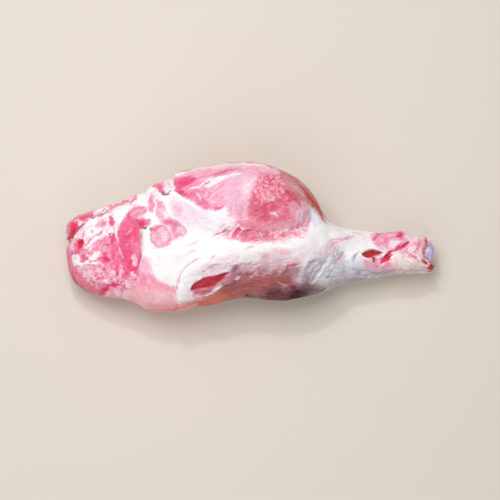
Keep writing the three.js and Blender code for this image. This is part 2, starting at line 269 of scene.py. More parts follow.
# Tissues; some colours below are painted shade, as marked
# Each tissue: main colour, second colour that shows through in flecks (sRGB), share of flecks,
# how fatty it is and how fibrous it is
TISSUES = {
    "fat": ((253, 250, 250), (252, 234, 240), 0.3, 1.0, 0.1),
    "membrane": ((248, 237, 243), (240, 208, 224), 0.45, 0.8, 0.3),
    # dusk: grey-brown painted shade of the pink tissues, where they turn from the light or lie in folds
    "dusk": ((182, 142, 152), (214, 188, 198), 0.6, 0.4, 0.4),
    "lilac": ((240, 196, 218), (230, 164, 196), 0.5, 0.5, 0.5),
    "pale": ((250, 214, 226), (255, 244, 247), 0.6, 0.6, 0.6),
    "pink": ((240, 152, 184), (247, 190, 208), 0.6, 0.3, 0.5),
    "rose": ((230, 100, 140), (243, 158, 182), 0.5, 0.15, 0.4),
    "lean": ((226, 54, 108), (236, 96, 140), 0.5, 0.0, 0.1),
    "deep": ((212, 26, 62), (230, 64, 100), 0.4, 0.0, 0.1),
    "magenta": ((228, 86, 138), (240, 134, 174), 0.5, 0.1, 0.4),
    "dome": ((208, 78, 108), (230, 116, 144), 0.6, 0.1, 0.8),
    "flank": ((255, 172, 182), (255, 200, 208), 0.5, 0.4, 0.4),
    "salmon": ((224, 110, 96), (236, 142, 130), 0.5, 0.3, 0.6),
    "rust": ((190, 76, 60), (210, 108, 92), 0.5, 0.2, 0.6),
    # mauve: brownish muscle; on the near side its darkness is in part painted shade
    "mauve": ((148, 84, 88), (180, 118, 124), 0.5, 0.3, 0.3),
    # purple: dark purple painted shade low on the near side and in hollows, over the muscle's own dark tone
    "purple": ((94, 26, 52), (124, 50, 74), 0.5, 0.1, 0.15),
    # dark: near-black painted shadow along the foot where the leg meets the floor, and in a deep nick
    "dark": ((34, 8, 8), (66, 24, 22), 0.5, 0.1, 0.4),
    "blood": ((186, 28, 36), (212, 54, 62), 0.5, 0.0, 0.4),
    "sinew": ((236, 236, 244), (220, 216, 228), 0.6, 0.7, 0.4),
    # grey: bluish grey painted shade of the white sinew, on the shank's lower side and in its wrinkles
    "grey": ((146, 134, 152), (184, 176, 194), 0.5, 0.6, 0.3),
    "cream": ((238, 226, 220), (226, 204, 204), 0.6, 0.8, 0.3),
    "gland": ((238, 176, 192), (246, 212, 220), 0.6, 0.5, 0.3),
    # crease: dark magenta painted shade in creases and small pits
    "crease": ((160, 60, 92), (190, 96, 128), 0.4, 0.1, 0.4),
    "cartilage": ((192, 176, 212), (222, 208, 228), 0.6, 0.7, 0.1),
}


def linear(colour):
    c = np.array(colour, float) / 255
    return np.where(c <= 0.04045, c / 12.92, ((c + 0.055) / 1.055) ** 2.4)


def curve_through(knots, closed, steps=5):
    """Points of a round curve through the knots, with a few steps between each two."""
    k = np.array(knots, float)
    if closed:
        before, start, end, after = np.roll(k, 1, 0), k, np.roll(k, -1, 0), np.roll(k, -2, 0)
    else:
        padded = np.concatenate([k[:1], k, k[-1:]])
        before, start, end, after = padded[:-3], padded[1:-2], padded[2:-1], padded[3:]
    t = (np.arange(steps) / steps)[None, :, None]
    b, s, e, a = (part[:, None, :] for part in (before, start, end, after))
    bend = s + 0.5 * t * (e - b + t * (2 * b - 5 * s + 4 * e - a + t * (3 * (s - e) + a - b)))
    points = bend.reshape(-1, 2)
    return points if closed else np.concatenate([points, k[-1:]])


def along_line(spots, a, b):
    """Distance from each spot to the straight line a-b, and how far along it the nearest point is, 0 to 1."""
    run = b - a
    t = np.clip(((spots - a) @ run) / max(run @ run, 1e-9), 0, 1)
    return np.linalg.norm(spots - a - t[:, None] * run, axis=1), t


def inside_depth(spots, outline):
    """How deep each spot lies inside a closed round outline; negative outside it."""
    points = curve_through(outline, closed=True)
    nearest = np.full(len(spots), np.inf)
    inside = np.zeros(len(spots), bool)
    for a, b in zip(points, np.roll(points, -1, axis=0)):
        nearest = np.minimum(nearest, along_line(spots, a, b)[0])
        if a[1] != b[1]:
            crosses = (spots[:, 1] < a[1]) != (spots[:, 1] < b[1])
            inside ^= crosses & (spots[:, 0] < a[0] + (spots[:, 1] - a[1]) * (b[0] - a[0]) / (b[1] - a[1]))
    return np.where(inside, nearest, -nearest)


def oval(x, y, across, up, turn=0.0, sides=10):
    """The outline of an oval patch, in pixels; turn is in degrees, anticlockwise."""
    angle = 2 * math.pi * np.arange(sides) / sides
    c, s = math.cos(math.radians(turn)), -math.sin(math.radians(turn))
    u, v = across * np.cos(angle), up * np.sin(angle)
    return np.stack([x + u * c - v * s, y + u * s + v * c], axis=1)


# Painting is full where the surface faces the view by at least this much, and fades to none at its outline
FACING_FULL = 0.25
STEEP_UP_TO = 0.5
# Waves that bend the edges of the painting: size in mm, first seed, reach in pixels
WAVES = ((7, 11, 1.3), (2.6, 13, 0.5))
STEEP_WAVES = ((20, 15, 8.0), (46, 17, 9.6))
STEEP_SOFTENING = 2

LEAST_SHARE = 0.002
FLECKS_FROM, FLECKS_FULL = -0.15, 0.75
FLECKS_ADD_FAT = 0.3

EDGE_MARGIN = 6
SOFT_MARGIN = 3
FRAY_LONG, FRAY_SHORT, FRAY_SEED = 11, 2.8, 9
STROKE_END = 0.05
STRAND_SHARE = 0.45
GAP_TURN, GAP_WIDTH, GAP_SEED = 20, 3, 5


class Skin:
    """The leg's surface while it is made: its tissues' colours, and how far each point is lifted.

    Outlines and paths are in the photograph's pixels, angles in degrees anticlockwise from its right,
    levels and lifts in millimetres.
    """

    def __init__(self, points, normals):
        self.points = points
        towards = normals @ VIEW_BACK
        self.facing = smoothstep(towards, 0.0, FACING_FULL)
        self.steep = 1 - smoothstep(towards, 0.0, STEEP_UP_TO)
        self.straight_spots = seen_at(points)
        bend = self.waves(WAVES) + self.steep[:, None] * self.waves(STEEP_WAVES)
        self.wavy_spots = self.straight_spots + bend
        self.spots = self.wavy_spots
        count = len(points)
        self.tint = np.zeros((count, 3))
        self.fat = np.zeros(count)
        self.fibre = np.zeros(count)
        self.lift = np.zeros(count)

    def waves(self, table):
        """How far the waves of a table move each point's place in the picture, in pixels."""
        return sum(
            reach * np.stack([noise(self.points, size, seed), noise(self.points, size, seed + 1)], axis=1)
            for size, seed, reach in table
        )

    def grain(self, angle, long, short, seed):
        """Noise drawn out along one direction of the picture."""
        c, s = math.cos(math.radians(angle)), math.sin(math.radians(angle))
        x, y, z = self.points.T
        turned = np.stack([x * c + y * s, -x * s + y * c, z], axis=1)
        return rough(turned, (long, short, short), 2, seed)

    def around(self, places, margin):
        """Which points are seen within a margin in pixels of the box round some places."""
        low, high = places.min(0) - margin, places.max(0) + margin
        return np.all((self.spots > low) & (self.spots < high), axis=1) & (self.facing > 0)

    def lay(self, share, tissue, angle=0.0, level=None, long=9.0, short=2.4, flecks=None):
        """Covers the surface with a tissue, by a share from 0 to 1 at each point."""
        main, second, usual, fat, fibre = TISSUES[tissue]
        share = np.clip(share, 0, 1)
        some = share > LEAST_SHARE
        if not some.any():
            return
        grain = Part(self, some).grain(angle, long, short, len(tissue))
        fleck = smoothstep(grain, FLECKS_FROM, FLECKS_FULL)
        fleck = np.clip(fleck * 2 * (usual if flecks is None else flecks), 0, 1)
        colour = mix(linear(main), linear(second), fleck[:, None])
        s = share[some]
        self.tint[some] = mix(self.tint[some], colour, s[:, None])
        self.fat[some] = mix(self.fat[some], mix(fat, min(1, fat + FLECKS_ADD_FAT), fleck), s)
        self.fibre[some] = mix(self.fibre[some], fibre, s)
        if level is not None:
            self.lift[some] = mix(self.lift[some], level, s)

    def patch(self, tissue, outline, soft=2.0, level=None, angle=0.0, strength=1.0, frayed=1.5,
              **fleck_sizes):
        """A tissue inside a closed outline, with an edge that is soft and frayed by so many pixels."""
        outline = np.array(outline, float)
        near = self.around(outline, SOFT_MARGIN * soft + EDGE_MARGIN)
        share = np.zeros(len(self.points))
        depth = inside_depth(self.spots[near], outline)
        if frayed:
            depth += frayed * Part(self, near).grain(angle, FRAY_LONG, FRAY_SHORT, FRAY_SEED)
        edge = soft * (1 + STEEP_SOFTENING * self.steep[near])
        share[near] = smoothstep(depth, -edge, edge) * self.facing[near] * strength
        self.lay(share, tissue, angle, level, **fleck_sizes)

    def cut(self, tissue, outline, **settings):
        """A patch with a clean edge, neither bent nor frayed."""
        self.spots = self.straight_spots
        self.patch(tissue, outline, frayed=0, **settings)
        self.spots = self.wavy_spots

    def stroke(self, tissue, path, width, lift=0.0, strength=1.0, taper=True, angle=0.0):
        """A streak, seam or fold of a tissue along a path, raised or sunk."""
        points = curve_through(path, closed=False)
        near = self.around(points, SOFT_MARGIN * width)
        spots = self.spots[near]
        nearest = np.full(len(spots), np.inf)
        place = np.zeros(len(spots))
        for i, (a, b) in enumerate(zip(points[:-1], points[1:])):
            distance, t = along_line(spots, a, b)
            closer = distance < nearest
            nearest[closer] = distance[closer]
            place[closer] = (i + t[closer]) / (len(points) - 1)
        bulge = np.sqrt(np.maximum(np.sin(math.pi * place), 0)) + STROKE_END
        thick = width * bulge if taper else width
        share = np.zeros(len(self.points))
        share[near] = np.exp(-((nearest / thick) ** 2)) * self.facing[near]
        self.lay(share * strength, tissue, angle)
        self.lift += share * lift

    def strands(self, tissue, outline, angle, amount=0.5, width=1.6, long=16.0, lift=0.5, soft=3.0, seed=40):
        """Fine strands of a tissue running one way inside an outline."""
        outline = np.array(outline, float)
        near = self.around(outline, soft + EDGE_MARGIN)
        part = Part(self, near)
        line = 1 - np.abs(part.grain(angle, long, width, seed))
        gap = smoothstep(part.grain(angle + GAP_TURN, long, width * GAP_WIDTH, seed + GAP_SEED), -0.5, 0.5)
        inside = smoothstep(inside_depth(self.spots[near], outline), -soft, soft)
        share = np.zeros(len(self.points))
        share[near] = smoothstep(line, 1 - STRAND_SHARE * amount, 1) * gap * inside * self.facing[near]
        self.lay(share, tissue, angle)
        self.lift += share * lift


class Part:
    """Some of a skin's points, for noises that are needed there alone."""

    def __init__(self, skin, chosen):
        self.points = skin.points[chosen]

    grain = Skin.grain


# What covers the leg where the photograph doesn't show it
BORDERS_WANDER_ALONG = 16
BORDERS_WANDER_UP = 7


def lay_hidden_sides(skin, normals):
    points = skin.points
    # Borders between the tissues wander along the leg and up and down
    x = points[:, 0] + BORDERS_WANDER_ALONG * rough(points, 34, 3, 22)
    z = points[:, 2] + BORDERS_WANDER_UP * rough(points, 26, 3, 30)
    near = smoothstep(-normals[:, 1], 0.1, 0.5)
    far = smoothstep(normals[:, 1], 0.05, 0.4)

    def stretch(start, end, soft=12):
        return smoothstep(x, start - soft, start + soft) * smoothstep(-x, -end - soft, -end + soft)

    def below(top, full):
        return smoothstep(-z, -top, -full)

    def above(bottom, full):
        return smoothstep(z, bottom, full)

    def cloud(size, low, high, seed):
        return smoothstep(rough(points, size, 3, seed), low, high)

    skin.lay(np.ones(len(points)), "fat", angle=0, level=0.0, long=22, short=9)
    skin.lay(cloud(46, -0.05, 0.55, 21), "membrane", angle=0, level=0.2, long=26, short=6)
    skin.lay(cloud(40, 0.3, 0.8, 41) * 0.8, "pink", angle=0, level=-0.3, long=20, short=4)
    # Near side: rump muscle, flank, long muscle, then the sinews of the shank
    skin.lay(near * stretch(-400, -158), "rose", angle=80, level=0.0, long=12, short=2.6, flecks=0.7)
    skin.lay(near * stretch(-150, -58, 20), "flank", angle=8, level=0.1, long=22, short=4)
    # the long muscle's mauve is in part painted shade
    skin.lay(near * stretch(-58, 62, 24), "mauve", angle=8, level=-0.2, long=26, short=3)
    skin.lay(near * stretch(-80, 30, 26) * below(38, 14), "salmon", angle=8, level=-0.2, long=26, short=3)
    # painted shade: purple low on the near side
    skin.lay(near * stretch(24, 84, 24) * below(46, 22), "purple", angle=8, level=-0.4, long=26, short=3)
    skin.lay(near * stretch(92, 400, 20) * cloud(22, -0.7, 0.1, 23), "sinew", angle=0, level=0.1,
             long=16, short=4)
    # painted shadow: near-black along the foot of the near side
    skin.lay(near * stretch(-6, 122, 18) * below(41, 20), "dark", angle=8, level=-0.2, long=26, short=3)
    # darker red at the rump's foot, in part painted shade
    skin.lay(near * stretch(-400, -186, 10) * below(22, 8) * 0.9, "blood", angle=8, level=0.0, long=20,
             short=3)
    skin.lay(near * cloud(18, 0.45, 0.7, 42) * 0.8, "pale", angle=8, level=0.4, long=20, short=2.4)
    # Far side: fat over the rump, the round muscle, then its dark edge towards the shank
    skin.lay(far * stretch(-400, -120) * cloud(26, 0.0, 0.45, 43), "rose", angle=-8, level=-0.3, long=18,
             short=2.6)
    skin.lay(far * stretch(-108, 78, 18), "dome", angle=-10, level=-0.2, long=24, short=3, flecks=0.5)
    skin.lay(far * stretch(-60, 86, 22) * below(82, 52), "salmon", angle=-10, level=-0.2, long=24,
             short=3)
    skin.lay(far * stretch(34, 88, 26) * cloud(24, -0.5, 0.3, 44), "rust", angle=-20, level=-0.3,
             long=20, short=2.6)
    skin.lay(far * stretch(-108, 70) * cloud((40, 16, 10), 0.3, 0.6, 45) * 0.9, "pale", angle=-10,
             level=0.5, long=24, short=2.4)
    skin.lay(far * stretch(64, 98, 16) * below(60, 34) * 0.7, "blood", angle=-40, level=0.0)
    skin.lay(far * stretch(74, 100, 12) * above(30, 60) * 0.9, "blood", angle=-40, level=0.0)
    # Ends and underside
    cut = smoothstep(-normals[:, 0], 0.35, 0.7) * smoothstep(-points[:, 0], 205, 235)
    skin.lay(cut, "rose", angle=80, level=0.0, long=10, short=2.4, flecks=0.4)
    skin.lay(cut * above(20, 60) * 0.5, "blood", angle=80, level=0.0, long=10, short=2.4)
    skin.lay(cut * cloud((30, 14, 9), 0.1, 0.5, 46), "lean", angle=80, level=0.4, long=10, short=2.2)
    skin.lay(cut * cloud((26, 20, 5), 0.42, 0.6, 47), "pale", angle=80, level=0.7)
    hock_side = smoothstep(points[:, 0], 165, 195)
    skin.lay(hock_side * cloud(16, -0.5, 0.4, 27) * 0.8, "cream", angle=0, level=0.2, long=14, short=2)
    skin.lay(hock_side * cloud((22, 9, 6), 0.2, 0.5, 48) * 0.8, "salmon", angle=0, level=-0.2, long=14,
             short=2)
    end = smoothstep(normals[:, 0], 0.4, 0.8) * smoothstep(points[:, 0], 215, 232)
    skin.lay(end, "blood", angle=0, level=0.0)
    skin.lay(end * cloud(7, 0.1, 0.4, 49), "cream", angle=0, level=0.6)
    under = smoothstep(-normals[:, 2], 0.55, 0.9)
    skin.lay(under, "fat", angle=0, level=0.0, long=24, short=8)
    skin.lay(under * cloud(44, -0.1, 0.4, 28), "cream", angle=0, level=0.2, long=20, short=6)
    skin.lay(under * cloud((60, 24, 24), 0.2, 0.6, 50) * 0.85, "pink", angle=0, level=-0.3, long=24,
             short=3)


# What the photograph shows, region by region, in its pixels
def paint_fat_sheet(skin):
    sheet = [
        (136, 194), (152, 183), (175, 176), (210, 170), (250, 172), (300, 190), (326, 222), (360, 231),
        (392, 240), (400, 262), (380, 276), (330, 288), (290, 292), (240, 294), (200, 304), (176, 306),
        (150, 292), (142, 270), (143, 240), (146, 222),
    ]
    skin.patch("fat", sheet, soft=5, level=0.6, angle=20, long=18, short=7, flecks=0.12)
    torn_corner = [(134, 196), (146, 192), (149, 204), (146, 212), (134, 207)]
    skin.patch("fat", torn_corner, level=1.0)
    lower_tint = [(150, 250), (180, 250), (190, 262), (170, 276), (152, 268)]
    skin.patch("pale", lower_tint, soft=8, angle=24, strength=0.25)
    upper_veil = [(170, 197), (190, 203), (208, 214), (206, 224), (188, 226), (172, 214)]
    skin.patch("lilac", upper_veil, soft=6, level=0.4, angle=20, strength=0.6)
    veil_by_the_dome = [(206, 214), (224, 212), (226, 226), (212, 234), (190, 228)]
    skin.patch("sinew", veil_by_the_dome, soft=6, angle=20, strength=0.6)
    pink_spot = oval(177.5, 210, 5, 5, -50)
    skin.patch("pink", pink_spot, soft=3, angle=20, strength=0.55)
    small_pink_spot = oval(183, 218, 4, 2)
    skin.patch("pink", small_pink_spot, soft=2.5, angle=20, strength=0.3)
    upper_wrinkle = [(187, 246), (194, 243), (200, 240)]
    skin.stroke("lilac", upper_wrinkle, width=0.8, lift=-0.4, strength=0.8)
    lower_wrinkle = [(186, 256), (190, 252), (196, 249)]
    skin.stroke("lilac", lower_wrinkle, width=0.8, lift=-0.3, strength=0.6)


def paint_rump(skin):
    face = [
        (70, 240), (80, 226), (95, 217), (112, 207), (128, 203), (136, 208), (140, 240), (139, 270),
        (142, 306), (125, 303), (100, 298), (84, 291), (72, 281), (66, 266), (66, 250),
    ]
    skin.patch("rose", face, soft=3, level=0.0, angle=40, long=9, short=2.6, flecks=0.8)
    # White side towards the flap, drawn up in slanting folds
    white_side = [
        (78, 234), (84, 225), (97, 217), (110, 211), (124, 204), (130, 205), (127, 216), (120, 224),
        (117.6, 231), (112, 236), (104, 239), (95, 243), (90, 247), (84, 246),
    ]
    skin.patch("pale", white_side, soft=1.8, level=0.9, angle=36, long=14, short=2.4, flecks=0.9)
    white_corner = [(84, 226), (90, 220), (97, 218), (98, 222), (94, 226), (87, 229)]
    skin.patch("fat", white_corner, soft=1.6, level=1.1, angle=36)
    pink_hollow = [(95, 225.5), (98, 221.4), (103, 220.6), (107, 223), (105, 227), (99, 227.6)]
    skin.patch("pink", pink_hollow, soft=1.2, level=0.2, angle=36, strength=0.8)
    hollow_floor = oval(103.4, 224.2, 2.2, 1.3, 20)
    skin.patch("magenta", hollow_floor, soft=1.2, level=-0.3, angle=20, strength=0.6)
    corner_crease = [(85.6, 228.6), (89, 227.4), (92.6, 226.2)]
    skin.stroke("rose", corner_crease, width=0.8, lift=-0.6, strength=0.6)
    upright_slit = [(108.4, 218), (110.4, 215.8), (113, 218), (113.8, 224), (111.6, 226), (109.6, 223)]
    skin.patch("magenta", upright_slit, soft=0.9, level=-0.5, angle=80)
    slit_end = oval(111.6, 224, 1.5, 1.6)
    skin.patch("lean", slit_end, soft=0.8, level=-0.7, strength=0.7)
    fold_by_the_band = [
        (114.6, 216), (118, 211.4), (124, 209), (127, 211), (125.6, 217), (122, 222.6), (117, 223),
        (114.6, 220),
    ]
    skin.patch("fat", fold_by_the_band, soft=1.1, level=1.3)
    round_lump = [(87, 233), (88.6, 229), (94, 227.6), (100, 229), (99, 233.4), (93, 236.6), (88, 236)]
    skin.patch("fat", round_lump, soft=1.1, level=1.2)
    lump_shade = oval(92, 231.8, 1.9, 1.6)
    skin.patch("lilac", lump_shade, soft=0.9, level=0.8)
    lump_edge = [(83, 231), (83.8, 235), (83.2, 240)]
    skin.stroke("rose", lump_edge, width=0.9, lift=-0.4, strength=0.8)
    outer_lump = [(75, 238), (78, 233.6), (82.4, 233), (82, 237.6), (78.6, 240.2)]
    skin.patch("pale", outer_lump, soft=0.9, level=0.9, angle=40)
    folds = (
        ("rose", 0.8, -0.8, [(84, 245.6), (89, 241), (94, 237), (98, 233.4)]),
        ("fat", 1.2, 0.9, [(84.6, 248.6), (90, 244.4), (96, 239.4), (102, 233.4), (107, 228)]),
        ("rose", 0.9, -0.7, [(93, 244.4), (99, 241.6), (104, 239.4), (108, 237)]),
        ("fat", 1.0, 0.8, [(88, 250), (94, 246.6), (101, 245.4)]),
        ("pink", 0.8, -0.5, [(88, 247.8), (94, 243.6), (100, 238.6)]),
        ("fat", 0.9, 0.9, [(99, 219.6), (105, 217), (108, 213.6)]),
        ("pink", 0.7, -0.5, [(98, 217.8), (103.4, 216), (107, 213)]),
        ("fat", 0.9, 0.8, [(114.6, 222), (115.6, 229), (116.6, 235), (117.4, 241)]),
        ("fat", 0.8, 0.7, [(111.6, 227.6), (112.4, 231), (111.4, 235)]),
        ("fat", 0.9, 0.8, [(117.6, 225), (117, 231), (117.6, 236)]),
        ("pink", 0.7, -0.4, [(113.4, 226), (114.2, 231), (115, 236)]),
        ("fat", 0.8, 0.7, [(117.4, 240.4), (119.6, 242.8), (121.6, 240.6)]),
        ("rose", 0.7, -0.5, [(104, 229.6), (101, 233), (96.6, 237)]),
    )
    for tissue, width, lift, path in folds:
        skin.stroke(tissue, path, width=width, lift=lift)
    notch_in_the_fold = [(121, 223.6), (122.4, 221), (124.2, 222), (123.2, 226), (121, 228)]
    skin.patch("rose", notch_in_the_fold, soft=0.7, level=-0.3)
    # painted shade in a small pit
    pinhole = oval(109.8, 233.6, 0.7, 1.3, -20)
    skin.patch("crease", pinhole, soft=0.6, level=-0.8)
    gap_by_the_band = [(110.6, 237), (113, 233), (115.4, 237), (115.4, 243), (112, 245), (110.4, 242)]
    skin.patch("magenta", gap_by_the_band, soft=1.0, level=-0.4, angle=80)
    # Middle of the face
    middle = [
        (90, 250), (98, 243), (108, 239.4), (110, 250), (111, 260), (104, 258), (99, 253), (94, 252),
    ]
    skin.patch("pink", middle, soft=1.8, level=0.0, angle=60, strength=0.95, long=9, short=2.4)
    skin.strands("rose", middle, angle=40, amount=0.7, width=2.0, long=10, lift=-0.5, soft=2, seed=48)
    red_dot = oval(107, 245.6, 1.3, 0.9)
    skin.patch("lean", red_dot, soft=0.7, level=-0.8)
    lower_middle = [(98, 266), (104, 262), (112, 262), (117, 268), (114, 276), (104, 278), (98, 274)]
    skin.patch("pink", lower_middle, soft=2.4, level=0.2, angle=30, strength=0.85)
    side_of_the_band = [(109, 246), (113, 245), (121, 252), (122, 266), (116, 267), (111, 258)]
    skin.patch("magenta", side_of_the_band, soft=2.2, level=-0.1, angle=80, strength=0.6, long=16,
               short=4)
    hooked_gap = [
        (102.6, 257), (104.2, 253.4), (107.4, 252.6), (107, 257), (111, 259.4), (110, 261.6),
        (105, 262.6), (101.4, 261.4),
    ]
    skin.patch("lean", hooked_gap, soft=0.9, level=-0.6, angle=10)
    # Red vein and what lies round it
    vein_mouth = [
        (75.2, 243.6), (78, 240.6), (81.6, 238.8), (83.8, 240), (82.6, 244), (80.6, 247), (77.4, 247),
    ]
    skin.patch("deep", vein_mouth, soft=0.9, level=-2.4)
    vein_hole = oval(78.8, 244, 2.4, 2.4)
    skin.patch("deep", vein_hole, soft=0.8, level=-3.2)
    vein_wall = [(69, 247), (71.6, 241), (75.6, 239.6), (74.8, 243), (73.8, 248), (71.6, 253)]
    skin.patch("pale", vein_wall, soft=1.2, level=0.7, angle=70, strength=0.9)
    below_the_vein = [(68, 252), (74, 249.6), (79, 249), (84, 250.6), (81, 254), (77, 258), (72, 258)]
    skin.patch("magenta", below_the_vein, level=0.0, angle=35, strength=0.6)
    pale_thread = [(78, 257), (81.6, 253.4), (85, 251)]
    skin.stroke("pale", pale_thread, width=0.7, lift=0.5, strength=0.8)
    left_lump = [
        (72.4, 256), (75, 254), (78.4, 255.4), (80.4, 259), (80, 263), (75, 265.4), (72, 265.4),
        (71.6, 261),
    ]
    skin.patch("fat", left_lump, soft=1.1, level=1.0)
    left_lump_shade = oval(75.8, 258, 1.6, 2.2)
    skin.patch("lilac", left_lump_shade, soft=1.0, level=0.6, strength=0.6)
    muscle_end = oval(85.6, 255.4, 4.1, 4.3, 15)
    skin.patch("magenta", muscle_end, soft=0.9, level=0.4, angle=30)
    muscle_end_shade = oval(86, 257, 2.8, 1.7, 15)
    skin.patch("lean", muscle_end_shade, soft=1.0, level=0.2, angle=30, strength=0.55)
    pale_wedge = [(88, 261), (90.4, 257), (95, 252), (99.4, 251), (101, 254), (98, 259), (93, 261.6)]
    skin.patch("pale", pale_wedge, soft=0.9, level=1.2)
    wedge_top = [(90, 260), (93, 255.4), (97, 252), (99, 253), (97.6, 257), (93.4, 260.4)]
    skin.patch("fat", wedge_top, soft=0.9, level=1.5)
    long_white_fold = [
        (72, 266), (78, 262.6), (88, 261.6), (99, 261.8), (103.6, 263.6), (101, 265.4), (92, 264.6),
        (80, 265.4),
    ]
    skin.patch("fat", long_white_fold, soft=0.8, level=1.1)
    fold_shade = [(89, 261.4), (95, 261), (101, 261.4)]
    skin.stroke("dusk", fold_shade, width=0.5, lift=-0.5, strength=0.7)
    # Lower rump: lilac membrane, then a net of pale lumps over magenta
    lower_left_edge = [(70, 266), (74, 266), (79, 272), (84, 281), (80, 283), (73, 277)]
    skin.patch("rose", lower_left_edge, level=0.2, angle=60, strength=0.8)
    lilac_membrane = [(77, 267), (84, 265), (92, 266), (94, 272), (88, 276), (81, 272)]
    skin.patch("lilac", lilac_membrane, soft=1.8, level=0.6, angle=20)
    mottle = [
        (90, 268), (104, 264), (118, 265), (132, 270), (146, 284), (142, 291), (124, 289), (106, 289),
        (94, 284), (84, 276),
    ]
    skin.patch("magenta", mottle, soft=3, level=0.0, angle=40, long=5, short=3, flecks=1.0)
    pink_ground = [(92, 268), (106, 263), (115, 266), (114, 276), (108, 286), (98, 284), (88, 276)]
    skin.patch("pink", pink_ground, soft=2.8, level=0.2, angle=30, strength=0.75, long=6, short=3)
    skin.strands("fat", mottle, angle=50, amount=0.75, width=2.6, long=6.0, lift=0.9, seed=52)
    skin.strands("lean", mottle, angle=20, amount=0.7, width=2.4, long=9, lift=-0.7, seed=57)
    sparkle = [(78, 268), (83, 270), (92, 278), (100, 288), (98, 290), (88, 283), (80, 274)]
    skin.strands("fat", sparkle, angle=45, amount=0.8, width=2.2, long=5, lift=0.8, soft=1.5, seed=58)
    rose_spot = oval(96, 274.4, 2.4, 2.8)
    skin.patch("rose", rose_spot, soft=1.2, level=-0.4, angle=40)
    upper_gap = [(115, 268), (117.4, 266), (119.4, 268.6), (118.4, 275), (115.6, 275.6)]
    skin.patch("lean", upper_gap, soft=1.0, level=-0.6, angle=80, strength=0.8)
    right_gap = [(122, 269.6), (126, 268), (129, 271), (128.4, 278), (125, 280), (123.6, 275)]
    skin.patch("lean", right_gap, soft=1.4, level=-0.5, angle=80, strength=0.7)
    lumps = (
        [(96, 270), (98.4, 268.4), (101.4, 269.6), (100.6, 272), (97.4, 271.8)],
        [(109.4, 273), (111.6, 270.4), (115.4, 271.6), (114, 274.4)],
        [(119, 275), (120, 270.6), (122.6, 270.4), (122.4, 275), (120.4, 277)],
        [(130, 272.6), (132.6, 272.2), (136.6, 276.6), (134.4, 278.4), (131.6, 276)],
        [(103, 281.6), (105, 278.4), (108, 279.4), (106, 282)],
        [(112.6, 281.4), (115, 278.4), (117.4, 280)],
        [(126.4, 286), (127.4, 283), (130.6, 283.6), (131, 286.4), (128.6, 287.6)],
    )
    for lump in lumps:
        skin.patch("pale", lump, soft=1.0, level=0.9, angle=40, strength=0.85, flecks=0.9)
    pink_cloud = oval(127, 279, 6, 4, 20)
    skin.patch("pink", pink_cloud, soft=2.5, level=0.2, angle=20, strength=0.6)
    right_seam = [(137.6, 270), (140, 277), (144, 282), (148, 286)]
    skin.stroke("lean", right_seam, width=2.0, lift=-0.6, strength=0.75)
    short_seam = [(134, 276), (135, 281), (134, 286)]
    skin.stroke("lean", short_seam, width=1.0, lift=-0.6, strength=0.7)
    rim_glow = [(78, 276), (94, 285), (120, 290), (120, 297), (96, 295), (80, 284)]
    skin.patch("flank", rim_glow, soft=3, angle=30, strength=0.3)
    lean_cloud = oval(125, 274, 5, 5)
    skin.patch("lean", lean_cloud, soft=3, angle=30, strength=0.3)
    lower_flank = [(104, 295), (118, 295), (134, 298), (136, 306), (118, 305), (102, 300)]
    skin.patch("flank", lower_flank, soft=2.2, level=0.1, angle=10, strength=0.8)
    low_lean = [(86, 286), (94, 288), (104, 291), (104, 297), (94, 295), (84, 291)]
    skin.patch("lean", low_lean, soft=2.2, level=0.1, angle=30, strength=0.6)
    curved_gap = [
        (98.6, 294), (101, 289), (106, 286.4), (112, 284.4), (119, 283.4), (117, 287), (109, 289),
        (104.6, 294.6), (101, 296),
    ]
    skin.patch("lean", curved_gap, soft=1.1, level=-0.7, angle=25)
    curved_gap_floor = [(100.6, 294.6), (103, 290), (107, 287.6), (105, 291.6), (102.4, 295.6)]
    skin.patch("deep", curved_gap_floor, soft=1.1, level=-1.0, angle=25, strength=0.8)
    pink_island = [(105, 295), (109, 289.6), (115, 288.4), (116, 293), (111, 296.4)]
    skin.patch("pink", pink_island, soft=1.6, level=0.3, angle=25, strength=0.9)
    low_lumps = (
        [(114, 291), (117.6, 288.4), (120.4, 289.6), (120, 295), (116, 295.6)],
        [(121.4, 294), (124, 290.6), (130, 290.2), (132, 294), (129, 298), (123, 297.6)],
        [(131.6, 293), (134, 288.4), (137, 289.6), (139.6, 294), (136, 297.4), (132, 297.6)],
        [(106.6, 294.6), (108.6, 291.6), (110.4, 292.6), (109, 295.6)],
    )
    for lump in low_lumps:
        skin.patch("pale", lump, soft=1.6, level=0.9, angle=20, strength=0.9, flecks=0.2)
    curved_seam = [(101.6, 294.6), (105, 290), (110, 286.6), (118, 284.4)]
    skin.stroke("lean", curved_seam, width=1.5, lift=-0.7, strength=0.9)
    seam_floor = [(101.6, 295), (104, 291), (108, 288)]
    skin.stroke("deep", seam_floor, width=1.2, lift=-0.5, strength=0.8)
    cream_spot = oval(136.6, 293.6, 2.2, 2.6, -20)
    skin.patch("cream", cream_spot, soft=1.4, level=1.0, strength=0.5)
    first_parting = [(120.6, 288.6), (120.4, 291.6), (121, 294.6)]
    skin.stroke("lilac", first_parting, width=0.7, lift=-0.6, strength=0.8)
    second_parting = [(131, 289.4), (131.8, 292.4), (131, 296)]
    skin.stroke("lilac", second_parting, width=0.7, lift=-0.6, strength=0.8)
    pink_side = [(134, 280), (142, 278), (150, 288), (150, 300), (138, 302), (132, 292)]
    skin.patch("pink", pink_side, soft=3.5, level=0.1, angle=60, strength=0.6)
    pale_net = [(122, 282), (138, 280), (148, 290), (140, 298), (124, 290)]
    skin.strands("pale", pale_net, angle=55, amount=0.6, width=2.4, long=8, seed=69)
